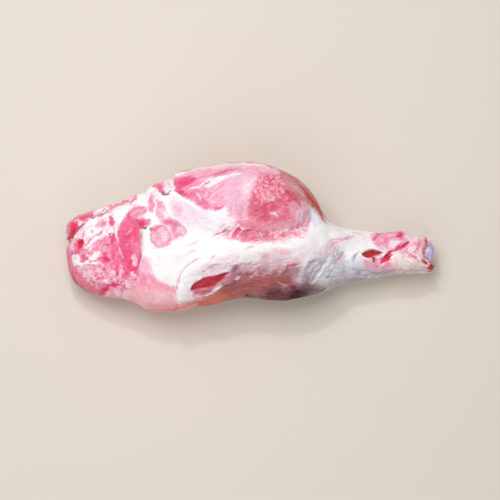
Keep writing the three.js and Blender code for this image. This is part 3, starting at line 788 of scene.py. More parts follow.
    # Rim down to what the leg lies on, its red deepened by painted shade where the wall turns down
    rim = [(69, 243), (68, 256), (70.5, 269), (77, 280), (88, 288), (100, 295)]
    upper_threads = [(82, 246), (92, 242), (102, 248), (96, 258), (84, 256)]
    skin.strands("pale", upper_threads, angle=30, amount=1.0, width=3.0, long=9, lift=0.7, soft=2.5,
                 seed=153)
    pale_cloud = oval(90, 274, 6, 4, 20)
    skin.patch("pale", pale_cloud, soft=3, level=0.5, angle=30, strength=0.5)
    skin.stroke("rose", rim, width=2.8, lift=0.3, strength=0.8, taper=False)
    left_rim = [(68.8, 243), (68.4, 250), (69, 256)]
    skin.stroke("pink", left_rim, width=1.6, lift=0.2, strength=0.7)
    rim_bulge = oval(69.6, 261, 2.6, 7)
    skin.patch("rose", rim_bulge, level=0.2, strength=0.8)
    # painted shade: the side wall's red darkened along the rim, with the deep red and purple lines after it
    shaded_rim = [(65, 250), (67, 264), (70, 275), (77, 285), (86, 291), (92, 295)]
    skin.stroke("blood", shaded_rim, width=1.8, strength=0.75, taper=False)
    deep_rim = [(66, 250), (68, 264), (71, 275), (78, 285), (90, 292.5), (100, 297)]
    skin.stroke("deep", deep_rim, width=1.3, strength=0.6, taper=False)
    rim_shade = [(71, 273), (74, 279), (78, 284)]
    skin.stroke("purple", rim_shade, width=1.3, strength=0.5)


def paint_flap(skin):
    strip = [
        (64, 219), (70, 216), (80, 214), (92, 210), (104, 206), (116, 202), (128, 197), (137, 194),
        (136, 200), (126, 204), (114, 208), (102, 213), (92, 217), (84, 221), (77, 229), (71, 238),
        (67, 238), (65, 230),
    ]
    skin.patch("rose", strip, soft=1.4, level=1.2, angle=18, long=12, short=2.2)
    skin.strands("pale", strip, angle=20, amount=0.7, width=2.0, long=14, lift=0.6, soft=1.5, seed=61)
    lean_spot = [(79, 219), (83, 216.6), (88, 216), (89.6, 218), (86, 220), (81, 221)]
    skin.patch("lean", lean_spot, soft=1.1, level=0.8, angle=15, strength=0.8)
    # painted shade on the flap
    shaded_spot = oval(87.4, 214.4, 2.0, 1.4, 15)
    skin.patch("dusk", shaded_spot, soft=1.0, level=1.0, angle=15, strength=0.7)
    small_lean_spot = [(90, 217), (91.4, 214.6), (94, 214.2), (94.4, 216.4), (92, 218)]
    skin.patch("lean", small_lean_spot, soft=0.8, level=0.6, angle=15)
    pale_middle = [
        (94, 212), (100, 208.6), (108, 206.4), (112, 207.6), (108, 210.4), (101, 213.6), (95.6, 216),
    ]
    skin.patch("pale", pale_middle, soft=1.1, level=1.5, angle=25)
    cream_flake = [(76, 222.4), (78.6, 220.4), (82.6, 222), (81.4, 225), (78.4, 224.4)]
    skin.patch("cream", cream_flake, soft=0.9, level=1.6, angle=30)
    edge = [(109, 207.6), (120, 201.6), (134, 195.5), (136, 199.5), (124, 205.6), (114, 209.6)]
    skin.patch("magenta", edge, soft=1.2, level=1.3, angle=22, strength=0.85, long=14, short=2.2,
               flecks=0.8)
    pale_corner = [(127, 200), (130, 196.6), (135, 195), (134.6, 198), (130, 201)]
    skin.patch("pale", pale_corner, soft=1.0, level=1.5, angle=30)
    salmon_spot = oval(124, 201, 3, 1.3, 25)
    skin.patch("salmon", salmon_spot, soft=1.0, level=1.2, angle=20, strength=0.6)
    folds = (
        ("fat", 0.9, 0.7, [(96.6, 213), (102, 210.2), (107, 207.4)]),
        ("fat", 0.8, 0.7, [(99.6, 215), (105, 212), (108.6, 209)]),
        ("pink", 0.7, -0.4, [(97, 214.4), (103, 211.4), (108, 208.2)]),
        ("pink", 0.8, -0.4, [(108, 209.4), (118, 205.6), (128, 201.8)]),
        ("fat", 0.9, 0.6, [(112, 206), (121, 202), (128, 199)]),
        ("fat", 0.8, 0.5, [(112.6, 211), (121, 207), (130, 203.4)]),
        ("pink", 0.9, -0.3, [(84, 214), (90, 211.4), (96, 209.4)]),
        ("fat", 1.8, 0.9, [(137, 201), (131, 206.4), (123, 209), (116, 213)]),
        ("lilac", 0.8, -0.6, [(130, 203.4), (134, 201.6), (137, 199.4)]),
        ("pink", 0.8, -0.4, [(80, 216.4), (84, 214.8), (88, 213)]),
    )
    for tissue, width, lift, path in folds:
        skin.stroke(tissue, path, width=width, lift=lift)
    rolled_end = oval(68.8, 224.5, 4.8, 6.6, 12)
    skin.patch("pink", rolled_end, soft=1.3, level=2.2)
    # painted highlight on the rolled end
    rolled_end_highlight = oval(70.6, 221.4, 2.8, 1.9, 10)
    skin.patch("lilac", rolled_end_highlight, soft=0.9, level=2.6)
    rolled_end_edge = [(66.6, 220), (66.8, 225), (68, 230)]
    skin.stroke("magenta", rolled_end_edge, width=0.9, lift=0.4, strength=0.7)
    red_side = [(71, 226), (74, 222), (77, 223), (79, 227), (77, 230), (73.6, 232)]
    skin.patch("lean", red_side, soft=1.0, level=0.6, angle=60)
    dark_mouth = [(70.2, 234), (71.6, 230), (74, 227.4), (75.4, 230), (73.6, 235), (71, 238), (69.8, 237)]
    skin.patch("deep", dark_mouth, soft=0.9, level=0.0)
    mouth_side = [(76.6, 228), (79, 225.6), (80.4, 227), (78, 230.4)]
    skin.patch("magenta", mouth_side, soft=0.8, level=0.6, angle=50, strength=0.8)
    pale_lip = [(68.4, 233), (68.4, 236), (68, 238.6)]
    skin.stroke("pale", pale_lip, width=0.8, lift=0.8)
    # painted shade in the flap's creases
    long_crease = [(68.6, 240.4), (72.6, 236.6), (76.4, 232), (80, 227.6), (83.4, 223.6)]
    skin.stroke("crease", long_crease, width=0.7, lift=-1.8)
    upper_crease = [(89, 218.6), (94, 217.4), (98, 216), (103, 214.2), (107.4, 211)]
    skin.stroke("crease", upper_crease, width=0.65, lift=-1.8, strength=0.9)
    crease_lip = [(72.5, 239.5), (77, 235), (82, 229.5), (87, 224)]
    skin.stroke("pale", crease_lip, width=1.2, lift=0.6)


def paint_rump_band(skin):
    band = [
        (127, 214), (134, 208), (143, 206), (147, 208), (146, 213), (142, 219), (140, 226), (139.4, 240),
        (140.2, 252), (139.4, 262), (137, 270), (132, 272), (126, 268), (121, 258), (118, 246),
        (118.4, 236), (120, 228), (124, 222),
    ]
    skin.patch("magenta", band, soft=1.3, level=-0.6, angle=84, long=26, short=6, flecks=0.12, frayed=0.8)
    upper_lean = [(124, 238), (128, 231), (133, 227), (138, 227), (138, 237), (132, 237), (128, 240)]
    skin.patch("lean", upper_lean, level=-0.8, angle=40, strength=0.75)
    lower_lean = [(127, 254), (132, 250), (134, 262), (134, 271), (128, 270)]
    skin.patch("lean", lower_lean, level=-0.8, angle=84, strength=0.7)
    right_lean = [(139, 240), (138, 256), (134, 250), (135, 240)]
    skin.patch("lean", right_lean, level=-0.6, angle=84, strength=0.45)
    top_rose = [(126, 218), (132, 214), (137, 216), (134, 226), (127, 230), (123, 228)]
    skin.patch("rose", top_rose, level=-0.3, angle=60, strength=0.6)
    pink_top = [(130, 213), (136, 208), (146, 207.4), (146, 212), (138, 217), (132, 217)]
    skin.patch("pink", pink_top, level=0.0, angle=30, strength=0.85, long=14, short=4)
    finger = [(134, 228), (137, 222), (141, 219.4), (148, 219), (151, 221), (147, 226), (140, 229)]
    skin.patch("rose", finger, soft=1.2, level=-0.6, angle=30)
    finger_hollow = [(138.4, 225), (140, 221), (144, 220.6), (144, 225.6), (140.6, 227)]
    skin.patch("lean", finger_hollow, soft=1.0, level=-1.0, angle=30)
    pale_bridge = [(137, 218.6), (140, 216), (146, 213.6), (148, 215), (145, 218.4), (140, 219)]
    skin.patch("pale", pale_bridge, soft=1.2, level=0.5, angle=20, strength=0.8)
    # painted shade in the crease
    finger_crease = [(140.6, 228), (143.6, 228.6), (147.4, 228.4)]
    skin.stroke("crease", finger_crease, width=0.8, lift=-1.4)
    # painted shade at the tip of the hollow
    finger_tip = oval(145.6, 228.2, 1.4, 0.7)
    skin.patch("purple", finger_tip, soft=0.6, level=-1.2)
    # painted shade in the crease
    right_crease = [(137.6, 272), (139, 263), (140.4, 250), (140, 236)]
    skin.stroke("crease", right_crease, width=0.7, lift=-1.1, strength=0.5)
    crease_shade = [(141.4, 232), (141, 238), (141.6, 246)]
    skin.stroke("dusk", crease_shade, width=0.5, lift=-0.4, strength=0.6)
    pale_island = oval(134.8, 260.5, 2.3, 6.2, 4)
    skin.patch("pale", pale_island, soft=0.8, level=0.5)
    island_line = [(134.6, 256), (135.2, 260), (135.2, 265)]
    skin.stroke("pink", island_line, width=0.9, lift=-0.3)
    island_edge = [(131.4, 259), (132, 255), (134, 253.4)]
    skin.stroke("rose", island_edge, width=0.7, lift=-0.4)
    left_thread = [(117.6, 247), (120.4, 252), (123, 259)]
    skin.stroke("pale", left_thread, width=0.8, lift=0.3, strength=0.7)
    upper_thread = [(125.6, 235.6), (128.6, 232), (132.6, 229)]
    skin.stroke("pink", upper_thread, width=0.7, lift=0.3, strength=0.7)
    middle_thread = [(124.6, 246), (129, 243), (134, 238.6)]
    skin.stroke("pink", middle_thread, width=0.7, lift=0.3, strength=0.5)
    pink_cloud = oval(137, 250, 4, 7)
    skin.patch("pink", pink_cloud, soft=2.5, angle=80, strength=0.35)


def paint_flank(skin):
    flank = [
        (138, 262), (144, 258), (150, 262), (152, 273), (160, 281), (172, 286), (177, 291), (177, 309),
        (160, 313), (144, 310), (137, 304), (138, 290), (138, 274),
    ]
    skin.patch("pink", flank, soft=3.5, level=0.2, angle=70, long=16, short=6, flecks=0.9)
    smooth_flank = [
        (132, 286), (150, 284), (164, 288), (182, 292), (194, 304), (182, 314), (150, 315), (132, 306),
    ]
    skin.patch("flank", smooth_flank, soft=6, level=0.2, angle=5, strength=0.95)
    pale_top = oval(146, 268, 6, 7, 20)
    skin.patch("pale", pale_top, soft=3.5, level=0.3, angle=70, strength=0.5, long=14, short=6)
    salmon_edge = [(150, 309), (162, 309), (178, 305), (178, 316), (154, 318)]
    skin.patch("salmon", salmon_edge, soft=3.5, level=0.1, angle=5, strength=0.7)
    pale_spot = oval(163, 297, 8, 3.5, 20)
    skin.patch("pale", pale_spot, soft=3.5, level=0.3, angle=20, strength=0.5)
    pale_veil = [(134, 291), (156, 290), (172, 297), (170, 306), (142, 306)]
    skin.patch("pale", pale_veil, soft=4, angle=10, strength=0.3)
    left_streak = [(142, 272), (145, 282), (150, 290)]
    skin.stroke("rose", left_streak, width=1.6, lift=-0.5, strength=0.5)
    lower_streak = [(146, 303), (156, 306), (168, 306)]
    skin.stroke("rose", lower_streak, width=1.4, strength=0.4)


def paint_window(skin):
    fat_bridge = [(151, 213), (156, 212), (161, 218), (156, 222), (151, 221)]
    skin.patch("fat", fat_bridge, soft=1.4, level=0.9)
    lens = [
        (163, 220), (171, 218), (179, 222.6), (186.6, 230.6), (185, 234), (176, 238.6), (170, 240),
        (168, 232), (165, 226),
    ]
    skin.patch("pink", lens, soft=1.8, level=-1.6, angle=60, frayed=0.6, long=10, short=4, flecks=0.5)
    lens_shade = oval(173, 226, 6, 4, -40)
    skin.patch("dusk", lens_shade, soft=3, angle=50, strength=0.3)
    lens_top = oval(168.6, 222.6, 4.6, 2.8, -20)
    skin.patch("magenta", lens_top, soft=2.4, level=-1.8, angle=50, strength=0.5)
    lens_middle = oval(174, 229.5, 3, 4.5, 20)
    skin.patch("magenta", lens_middle, soft=3, level=-1.6, angle=50, strength=0.3)
    lens_corner = oval(181.6, 230.6, 4.2, 3, -45)
    skin.patch("pale", lens_corner, soft=2.4, level=-1.0, angle=50, strength=0.75)
    gland_bed = [
        (151, 230), (156, 226), (164, 225), (171, 231), (173, 240), (166, 246), (156, 246.5),
        (151.6, 242),
    ]
    skin.patch("pink", gland_bed, soft=1.4, level=-1.0)
    round_gland = oval(159.4, 236.4, 8.4, 8.8)
    skin.patch("gland", round_gland, soft=1.2, level=-0.3, long=5, short=3, frayed=0.6)
    gland_shade = oval(156.6, 236.4, 4.4, 6)
    skin.patch("dusk", gland_shade, soft=2.6, strength=0.25)
    gland_top = oval(156.4, 229, 3.2, 2.6, 30)
    skin.patch("rose", gland_top, soft=1.4, level=-0.8, angle=40, strength=0.8)
    gland_rim = [(153.6, 224.5), (160, 223.6), (166.5, 227), (171, 232.6), (172.4, 239)]
    skin.stroke("pale", gland_rim, width=0.9, lift=0.9)
    gland_curl = [(160, 233), (164.4, 233.4), (165.4, 238), (161, 241)]
    skin.stroke("pale", gland_curl, width=0.9, lift=0.5, strength=0.8)
    gland_underline = [(152, 241), (157, 245), (164, 245.6)]
    skin.stroke("rose", gland_underline, width=0.9, lift=-0.5, strength=0.6)
    # painted shadow in a nick
    shaded_nick = [(149.4, 228.4), (150.6, 229.8), (150.4, 231.4)]
    skin.stroke("dark", shaded_nick, width=0.9, lift=-1.4, strength=0.8)
    # painted shade along the gland's side
    gland_side = [(150.8, 231), (151, 237), (151.6, 243.6)]
    skin.stroke("crease", gland_side, width=0.7, lift=-1.0, strength=0.4)
    pink_underline = [(153.3, 247.4), (159, 248), (165, 247.2)]
    skin.stroke("pink", pink_underline, width=0.8, lift=-0.6, strength=0.8)
    left_strip = [(148.8, 194.6), (151.8, 193), (154.8, 198), (155, 206), (153.2, 212), (149.6, 210.4)]
    skin.patch("pink", left_strip, soft=1.8, level=-0.9, angle=-80, long=10, short=2.6, flecks=0.2,
               frayed=0.8)
    left_strip_line = [(149.6, 196), (149.4, 203), (150.6, 209)]
    skin.stroke("rose", left_strip_line, width=1.2, lift=-0.2, strength=0.5)
    right_strip = [
        (156, 200), (161.4, 201.6), (165, 208.4), (163.8, 215.6), (161.6, 219.6), (157.6, 215),
        (155.6, 207.6),
    ]
    skin.patch("pink", right_strip, soft=2.2, level=-0.8, angle=-60, long=10, short=2.6, flecks=0.3,
               frayed=0.8)
    right_strip_line = [(154.4, 199), (157.4, 204), (160.4, 210)]
    skin.stroke("rose", right_strip_line, width=1.4, lift=-0.2, strength=0.4)
    strip_foot = [(157, 210), (162, 211), (163, 220), (166, 224), (159, 221)]
    skin.patch("pink", strip_foot, soft=1.6, level=-0.5, angle=-60, strength=0.8)
    pale_haze = [(158, 206), (166, 210), (172, 216), (168, 219), (161, 214)]
    skin.patch("pale", pale_haze, soft=2.2, angle=-40, strength=0.6)
    white_divide = [(153, 197), (155, 205), (154.6, 212), (157, 218)]
    skin.stroke("fat", white_divide, width=0.9, lift=0.9)
    membrane_top = [(152.6, 191.4), (157, 192.6), (162, 199.4), (160, 200.6), (155, 197)]
    skin.patch("membrane", membrane_top, soft=1.2, level=1.2, angle=-40)


def paint_knot(skin):
    knot = [(151, 186), (158, 181.6), (168, 181), (173.6, 185), (173, 192), (166, 196), (158, 193)]
    skin.patch("membrane", knot, soft=1.5, level=1.6, angle=20, long=4, short=2)
    pink_left = [(152, 185), (158, 182), (164, 183), (166, 188), (160, 190), (154, 188.6)]
    skin.patch("pink", pink_left, soft=1.3, level=1.2, angle=30, long=4, short=2.4)
    dark_middle = oval(159.6, 187.6, 4.6, 2.6, -30)
    skin.patch("magenta", dark_middle, soft=1.2, level=0.8, angle=30, strength=0.9, long=4, short=2.4)
    rose_fold = oval(162, 192, 3.2, 1.8, -40)
    skin.patch("rose", rose_fold, soft=1.0, level=-0.4)
    # painted shade in the crease
    crease_below = [(161, 192.6), (164, 194.6), (168, 194.6), (171.6, 191.8)]
    skin.stroke("crease", crease_below, width=1.1, lift=-1.4)
    white_curl = [(165, 182), (169, 179.4), (173, 180.6), (173, 188), (169, 190.6), (166, 186.6)]
    skin.patch("membrane", white_curl, soft=1.2, level=1.3, angle=60, long=5, short=2)
    curl_line = [(168.6, 182), (169.6, 186), (172.6, 188.6)]
    skin.stroke("rose", curl_line, width=0.8, lift=-0.5, strength=0.7)
    fat_corner = [(144, 193), (150, 186), (153, 189), (148, 197)]
    skin.patch("fat", fat_corner, soft=1.5, level=1.4)
    # painted shade in the crease
    right_crease = [(174.6, 189.4), (178, 192), (182.6, 194.6)]
    skin.stroke("crease", right_crease, width=1.1, lift=-1.4, strength=0.9)
    white_seam = [(170, 193), (177, 195), (184, 200), (193, 205), (204, 211)]
    skin.stroke("fat", white_seam, width=1.6, lift=1.1)


def paint_dome(skin):
    dome = [
        (174, 178), (185, 172), (200, 169), (218, 167), (242, 166), (264, 168), (284, 176), (300, 190),
        (312, 206), (310, 216), (302, 226), (290, 234), (272, 238), (250, 239), (234, 238), (226, 234),
        (228, 222), (226, 208), (218, 210), (206, 209.6), (194, 202), (184, 197), (176, 190),
    ]
    skin.patch("pink", dome, level=0.0, angle=28, long=16, short=3, flecks=0.6)
    # Hot pink corner, then the pink fan under the white streak
    corner = [
        (173.9, 178), (182, 175.4), (190.8, 175.8), (196.4, 178.2), (194, 182), (187, 186.6), (183, 190),
        (190, 195), (186, 196.4), (178, 189.8), (174.4, 186),
    ]
    skin.patch("magenta", corner, soft=1.8, level=-0.6, angle=30, flecks=0.3)
    corner_lean = [(179, 182.6), (183, 178.6), (190, 177.4), (194, 179.4), (188, 183), (182, 185.4)]
    skin.patch("lean", corner_lean, level=-0.7, angle=30, strength=0.55)
    corner_spot = oval(179.5, 191, 3.2, 2.2, -40)
    skin.patch("lean", corner_spot, soft=1.4, level=-0.9, angle=-40, strength=0.8)
    fan = [
        (190.8, 190), (197.4, 189.2), (201, 195.8), (207.6, 201.7), (209.4, 207), (205.6, 210.4),
        (198, 206), (190, 199), (186, 195),
    ]
    skin.patch("magenta", fan, soft=2.6, level=-0.5, angle=-50, strength=0.65, long=12, short=3)
    fan_thread = [(196, 192), (199, 196), (200.6, 201)]
    skin.stroke("pale", fan_thread, width=0.9, lift=0.5, strength=0.8)
    fan_foot = [(213.6, 207.6), (218, 206.2), (224, 206.4), (220, 209.8), (215, 209.8)]
    skin.patch("magenta", fan_foot, soft=1.0, level=-0.5, angle=10, strength=0.8)
    lilac_side = [
        (226, 180), (240, 172), (256, 176), (256, 186), (250, 196), (238, 200), (228, 202), (222, 192),
    ]
    skin.patch("lilac", lilac_side, soft=5, level=0.3, angle=40, strength=0.9, long=16, short=5,
               flecks=0.2)
    pale_side = [(244, 182), (256, 178), (257, 184), (250, 194), (243, 192)]
    skin.patch("pale", pale_side, soft=3, level=0.5, angle=40, strength=0.8)
    lilac_middle = [(232, 200), (240, 197), (250, 196), (249, 212), (246, 224), (234, 220), (230, 210)]
    skin.patch("lilac", lilac_middle, soft=3.5, level=0.1, angle=80, strength=0.9, flecks=0.9)
    magenta_cloud = oval(241, 213, 5.5, 9, -10)
    skin.patch("magenta", magenta_cloud, soft=5, level=0.0, angle=80, strength=0.45)
    lean = [
        (257, 180), (268, 174), (282, 176), (296, 190), (305, 204), (302, 212), (295, 224), (284, 231),
        (268, 234), (252, 231), (247, 222), (249, 206), (253, 192),
    ]
    skin.patch("dome", lean, soft=3.5, level=-0.3, angle=20, long=14, short=4, flecks=0.5)
    pale_belt = [
        (244, 216), (262, 222), (284, 220), (298, 212), (300, 222), (284, 232), (256, 233), (242, 228),
    ]
    skin.patch("pale", pale_belt, soft=4, level=-0.3, angle=10, strength=0.4, long=8, short=2.6)
    rose_cloud = oval(284, 212, 11, 8, -30)
    skin.patch("rose", rose_cloud, soft=6, level=-0.2, angle=10, strength=0.5)
    dull_side = [(290, 204), (298, 202), (302, 212), (296, 220), (290, 214)]
    skin.patch("gland", dull_side, soft=3, level=0.0, angle=-40, strength=0.6)
    sunken_middle = [(250, 204), (257, 197), (266, 200), (268, 212), (258, 214), (250, 213)]
    skin.patch("dome", sunken_middle, soft=3, level=-0.8, angle=80, flecks=0.0)
    lean_top = [(258, 178), (270, 175), (284, 180), (288, 190), (280, 196), (268, 196), (258, 194)]
    skin.patch("lean", lean_top, soft=3, level=-0.3, angle=30, strength=0.5)
    grain = [
        (258, 178), (271, 174.6), (284, 179.6), (289, 189), (282, 196), (272, 201), (259, 198),
        (256.6, 188),
    ]
    skin.strands("gland", grain, angle=60, amount=1.0, width=2.2, long=4.5, lift=0.9, seed=81)
    skin.strands("pale", grain, angle=-30, amount=0.9, width=2.0, long=4.0, lift=0.9, seed=83)
    upper_flecks = oval(268, 200, 12, 3, 20)
    skin.strands("pale", upper_flecks, angle=25, amount=0.8, width=2.0, long=6, lift=0.8, soft=2, seed=84)
    middle_flecks = oval(275, 214.6, 8, 3.2, 5)
    skin.strands("pale", middle_flecks, angle=10, amount=1.0, width=1.8, long=4, lift=0.8, soft=1.5,
                 seed=86)
    side_strands = oval(286, 204, 9, 8, -40)
    skin.strands("gland", side_strands, angle=-30, amount=0.7, width=2.2, long=10, seed=87)
    # Far rim of the round muscle, brownish in part from painted shade where it turns from the light, with a
    # red edge towards the shank
    rim = [
        (282, 175), (290, 176), (302.7, 187), (311, 198), (318, 209), (312, 209), (303, 201),
        (292.4, 190), (285, 182),
    ]
    skin.patch("salmon", rim, soft=2.6, level=0.1, angle=-50, long=14, short=3)
    rust_line = [(288, 175), (298, 182), (307, 192), (314, 202)]
    skin.stroke("rust", rust_line, width=2.2, strength=0.75, taper=False)
    rim_light = [(290, 183), (298, 190), (305, 198)]
    skin.stroke("gland", rim_light, width=1.6, lift=0.3, strength=0.7)
    rim_foot = [(300, 200), (306, 202), (313, 209), (307, 211), (301, 207)]
    skin.patch("gland", rim_foot, soft=1.6, level=0.4, angle=-40, strength=0.9)
    red_seam = [(286.5, 190.6), (292, 193.6), (297, 196.4), (301.8, 202)]
    skin.stroke("blood", red_seam, width=1.5, lift=-0.7, strength=0.65)
    seam_side = [(281, 188), (288, 192.6), (296, 198), (300, 205)]
    skin.stroke("lean", seam_side, width=1.6, lift=-0.4, strength=0.6)
    red_edge = [(311.6, 200.4), (317.6, 207), (322.6, 214), (327.4, 221)]
    skin.stroke("blood", red_edge, width=1.9, lift=-0.1, strength=0.9)
    rust_edge = [(312, 205), (318, 212), (324, 219)]
    skin.stroke("rust", rust_edge, width=1.5, strength=0.7)
    # Pale upper rim and the line under it
    top_rim = [(176, 174), (196, 169), (216, 165.4), (240, 163), (262, 164.6), (276, 169.6)]
    skin.stroke("membrane", top_rim, width=3.6, lift=0.5, strength=0.95, taper=False)
    rim_underline = [(178, 176), (198, 171.6), (212, 170)]
    skin.stroke("pink", rim_underline, width=1.2, lift=-0.2, strength=0.6)
    top_corner = [(268, 167), (276, 170), (281, 173.6)]
    skin.stroke("gland", top_corner, width=2.2, lift=0.3, strength=0.8)
    dark_line = [(213, 173), (219, 172.2), (225, 170.6), (233, 169.4), (240.4, 167.6)]
    skin.stroke("mauve", dark_line, width=0.8, lift=-0.7, strength=0.7)
    line_side = [(213, 173.8), (221, 173), (228, 171.4)]
    skin.stroke("magenta", line_side, width=1.2, lift=-0.4, strength=0.8)
    lilac_line = [(244, 169), (254, 171.6), (258, 175)]
    skin.stroke("lilac", lilac_line, width=1.2, lift=-0.3, strength=0.8)
    white_corner = [(175, 175.6), (180, 173.2), (185, 172.4)]
    skin.stroke("fat", white_corner, width=1.2, lift=0.9)
    # White streak with its pink eye
    streak = [
        (204.6, 187), (208.4, 182), (212.8, 178.2), (220, 175.8), (227, 175.8), (224.6, 179.8),
        (215.8, 184.2), (208.6, 188.4),
    ]
    skin.patch("fat", streak, soft=1.1, level=0.9, angle=30)
    streak_tail = [(189, 189.6), (194, 188), (199, 186), (204, 183), (209, 179.6), (213, 176)]
    skin.stroke("fat", streak_tail, width=0.9, lift=0.8)
    streak_tip = [(225, 177.6), (234, 174.6), (242, 173.6)]
    skin.stroke("fat", streak_tip, width=1.6, lift=0.5, strength=0.8)
    streak_eye = [(202.4, 186.4), (205, 182.8), (208.6, 181.6), (206, 184.8)]
    skin.patch("rose", streak_eye, soft=0.7, level=-0.7)
    streak_strands = [(206, 192), (222, 184), (230, 180), (232, 190), (222, 200), (210, 200)]
    skin.strands("pale", streak_strands, angle=24, amount=0.8, width=2.2, long=12, seed=88)
    # Membrane where the round muscle meets the shank
    tail = [(296, 213), (300, 208.6), (307, 208), (312, 213), (312, 221), (306, 225), (298, 224)]
    skin.patch("lilac", tail, soft=2.2, level=0.6, angle=60, long=9, short=2.6)
    tail_line = [(307, 224), (310, 218), (309, 212)]
    skin.stroke("mauve", tail_line, width=1.5, lift=-0.4, strength=0.55)
    tail_fold = [(299, 221), (301.6, 215), (304, 210)]
    skin.stroke("fat", tail_fold, width=0.9, lift=0.6, strength=0.7)
    tail_pink = [(303, 210), (309, 211), (310, 219), (305, 223), (302, 217)]
    skin.patch("pink", tail_pink, angle=60, strength=0.5)
    second_tail_fold = [(303, 225), (306, 219.6), (308, 214)]
    skin.stroke("fat", second_tail_fold, width=0.7, lift=0.5, strength=0.6)
    sinew_fan = [(309, 207), (314, 209), (324, 219), (332, 226), (322, 232), (312, 226)]
    skin.patch("sinew", sinew_fan, soft=2.6, level=0.8, angle=-40)
    # Net of white strands at the lower left of the round muscle
    net_ground = [(214, 232), (222, 222), (232, 216), (238, 222), (232, 236), (220, 240), (212, 238)]
    skin.patch("membrane", net_ground, soft=3, level=0.4, angle=35)
    lens_one = [
        (230.6, 236), (233.6, 230.8), (237.4, 227.2), (240.8, 227.6), (238, 231.8), (233.6, 236.4),
    ]
    lens_two = [(240.4, 235), (242, 231), (246.4, 229.2), (250, 230.6), (245.4, 235.6)]
    net_shade = [(226, 236), (232, 226), (240, 220), (252, 222), (256, 232), (250, 238), (232, 239)]
    skin.patch("magenta", net_shade, soft=3, level=-0.4, angle=30, strength=0.6)
    for lens in (lens_one, lens_two):
        skin.patch("lean", lens, soft=0.9, level=-0.9, angle=35, strength=0.75)
    net_threads = (
        [(215, 237), (222, 233.6), (229, 229), (234, 224)],
        [(229, 238), (232.6, 231.6), (237, 226.4), (240, 224)],
        [(237, 237.6), (240.8, 232.6), (243.4, 226.6)],
        [(240, 226), (243, 229), (250, 228.6)],
        [(247, 238), (250, 233.4), (256, 231)],
        [(218, 230), (224, 225), (230, 221)],
    )
    for path in net_threads:
        skin.stroke("fat", path, width=0.9, lift=1.0)
    net_line = [(215, 235), (222, 232), (229, 230.2)]
    skin.stroke("magenta", net_line, width=0.8, lift=-0.6, strength=0.9)
    # painted shade in the creases of the net
    net_creases = (
        [(218, 228), (222, 226), (226, 223.6)],
        [(213, 236.6), (221, 232.8), (228, 229.6)],
        [(222, 232), (226, 229), (230, 225)],
        [(221, 237.4), (227, 233.6), (230, 231)],
    )
    for path in net_creases:
        skin.stroke("crease", path, width=0.8, lift=-0.5, strength=0.55)
    # Band of torn strands along its lower edge
    band = [
        (241, 233), (256.7, 229.6), (272, 231), (287.3, 228.5), (297.6, 224.4), (306.7, 221.3),
        (308, 230), (293, 238), (277, 242), (256.7, 242), (238, 241),
    ]
    skin.patch("rose", band, level=-0.6, angle=10, strength=0.8)
    band_spot = oval(281, 236.4, 6, 1.8, 10)
    skin.patch("lean", band_spot, soft=1.6, level=-0.6, angle=10, strength=0.7)
    skin.strands("pale", band, angle=20, amount=1.0, width=2.2, long=8, lift=1.1, soft=2, seed=94)
    band_curls = [(270, 232), (284, 230), (290, 236), (276, 240)]
    skin.strands("fat", band_curls, angle=50, amount=0.9, width=2.0, long=5, lift=1.0, soft=2, seed=95)
    # painted shade in the crease
    band_crease = [(256, 239.6), (266, 240.4), (276, 238.6), (290, 233)]
    skin.stroke("crease", band_crease, width=0.8, lift=-0.8, strength=0.45)
    band_shade = [(240, 229), (262, 231), (273, 235), (262, 238.4), (240, 238)]
    skin.patch("crease", band_shade, soft=2.2, angle=10, strength=0.35)
    band_end = [(280, 228), (306, 222), (308, 230), (290, 240), (274, 242)]
    skin.strands("fat", band_end, angle=42, amount=0.8, width=2.4, long=8, lift=0.6, soft=2, seed=157)
    # painted shade over the middle of the round muscle
    shade_cloud = oval(240, 207, 9, 13, 10)
    skin.patch("dusk", shade_cloud, soft=6, angle=20, strength=0.3)
    rose_veil = [(212, 185), (236, 182), (266, 182), (274, 196), (240, 197), (214, 196)]
    skin.patch("rose", rose_veil, soft=5, angle=8, strength=0.22)
    low_rose_cloud = oval(261, 226, 9, 5, 0)
    skin.patch("rose", low_rose_cloud, soft=4, angle=8, strength=0.35)
    # Dark red edge towards the shank
    # painted shade over the far rim
    far_rim_shade = [(284, 173), (296, 182), (306, 193), (311, 204), (304, 205), (295, 197), (284, 185)]
    skin.patch("dusk", far_rim_shade, soft=2.5, angle=-40, strength=0.45)
    shank_side_edge = [(303, 187), (309, 195), (314, 203), (318, 210), (322, 216), (327, 221)]
    skin.stroke("blood", shank_side_edge, width=2.6, strength=0.95, taper=False)
    band_underline = [(240, 241), (256, 241.6), (276, 241.4), (292, 238)]
    skin.stroke("pink", band_underline, width=1.4, lift=-0.2, strength=0.7)


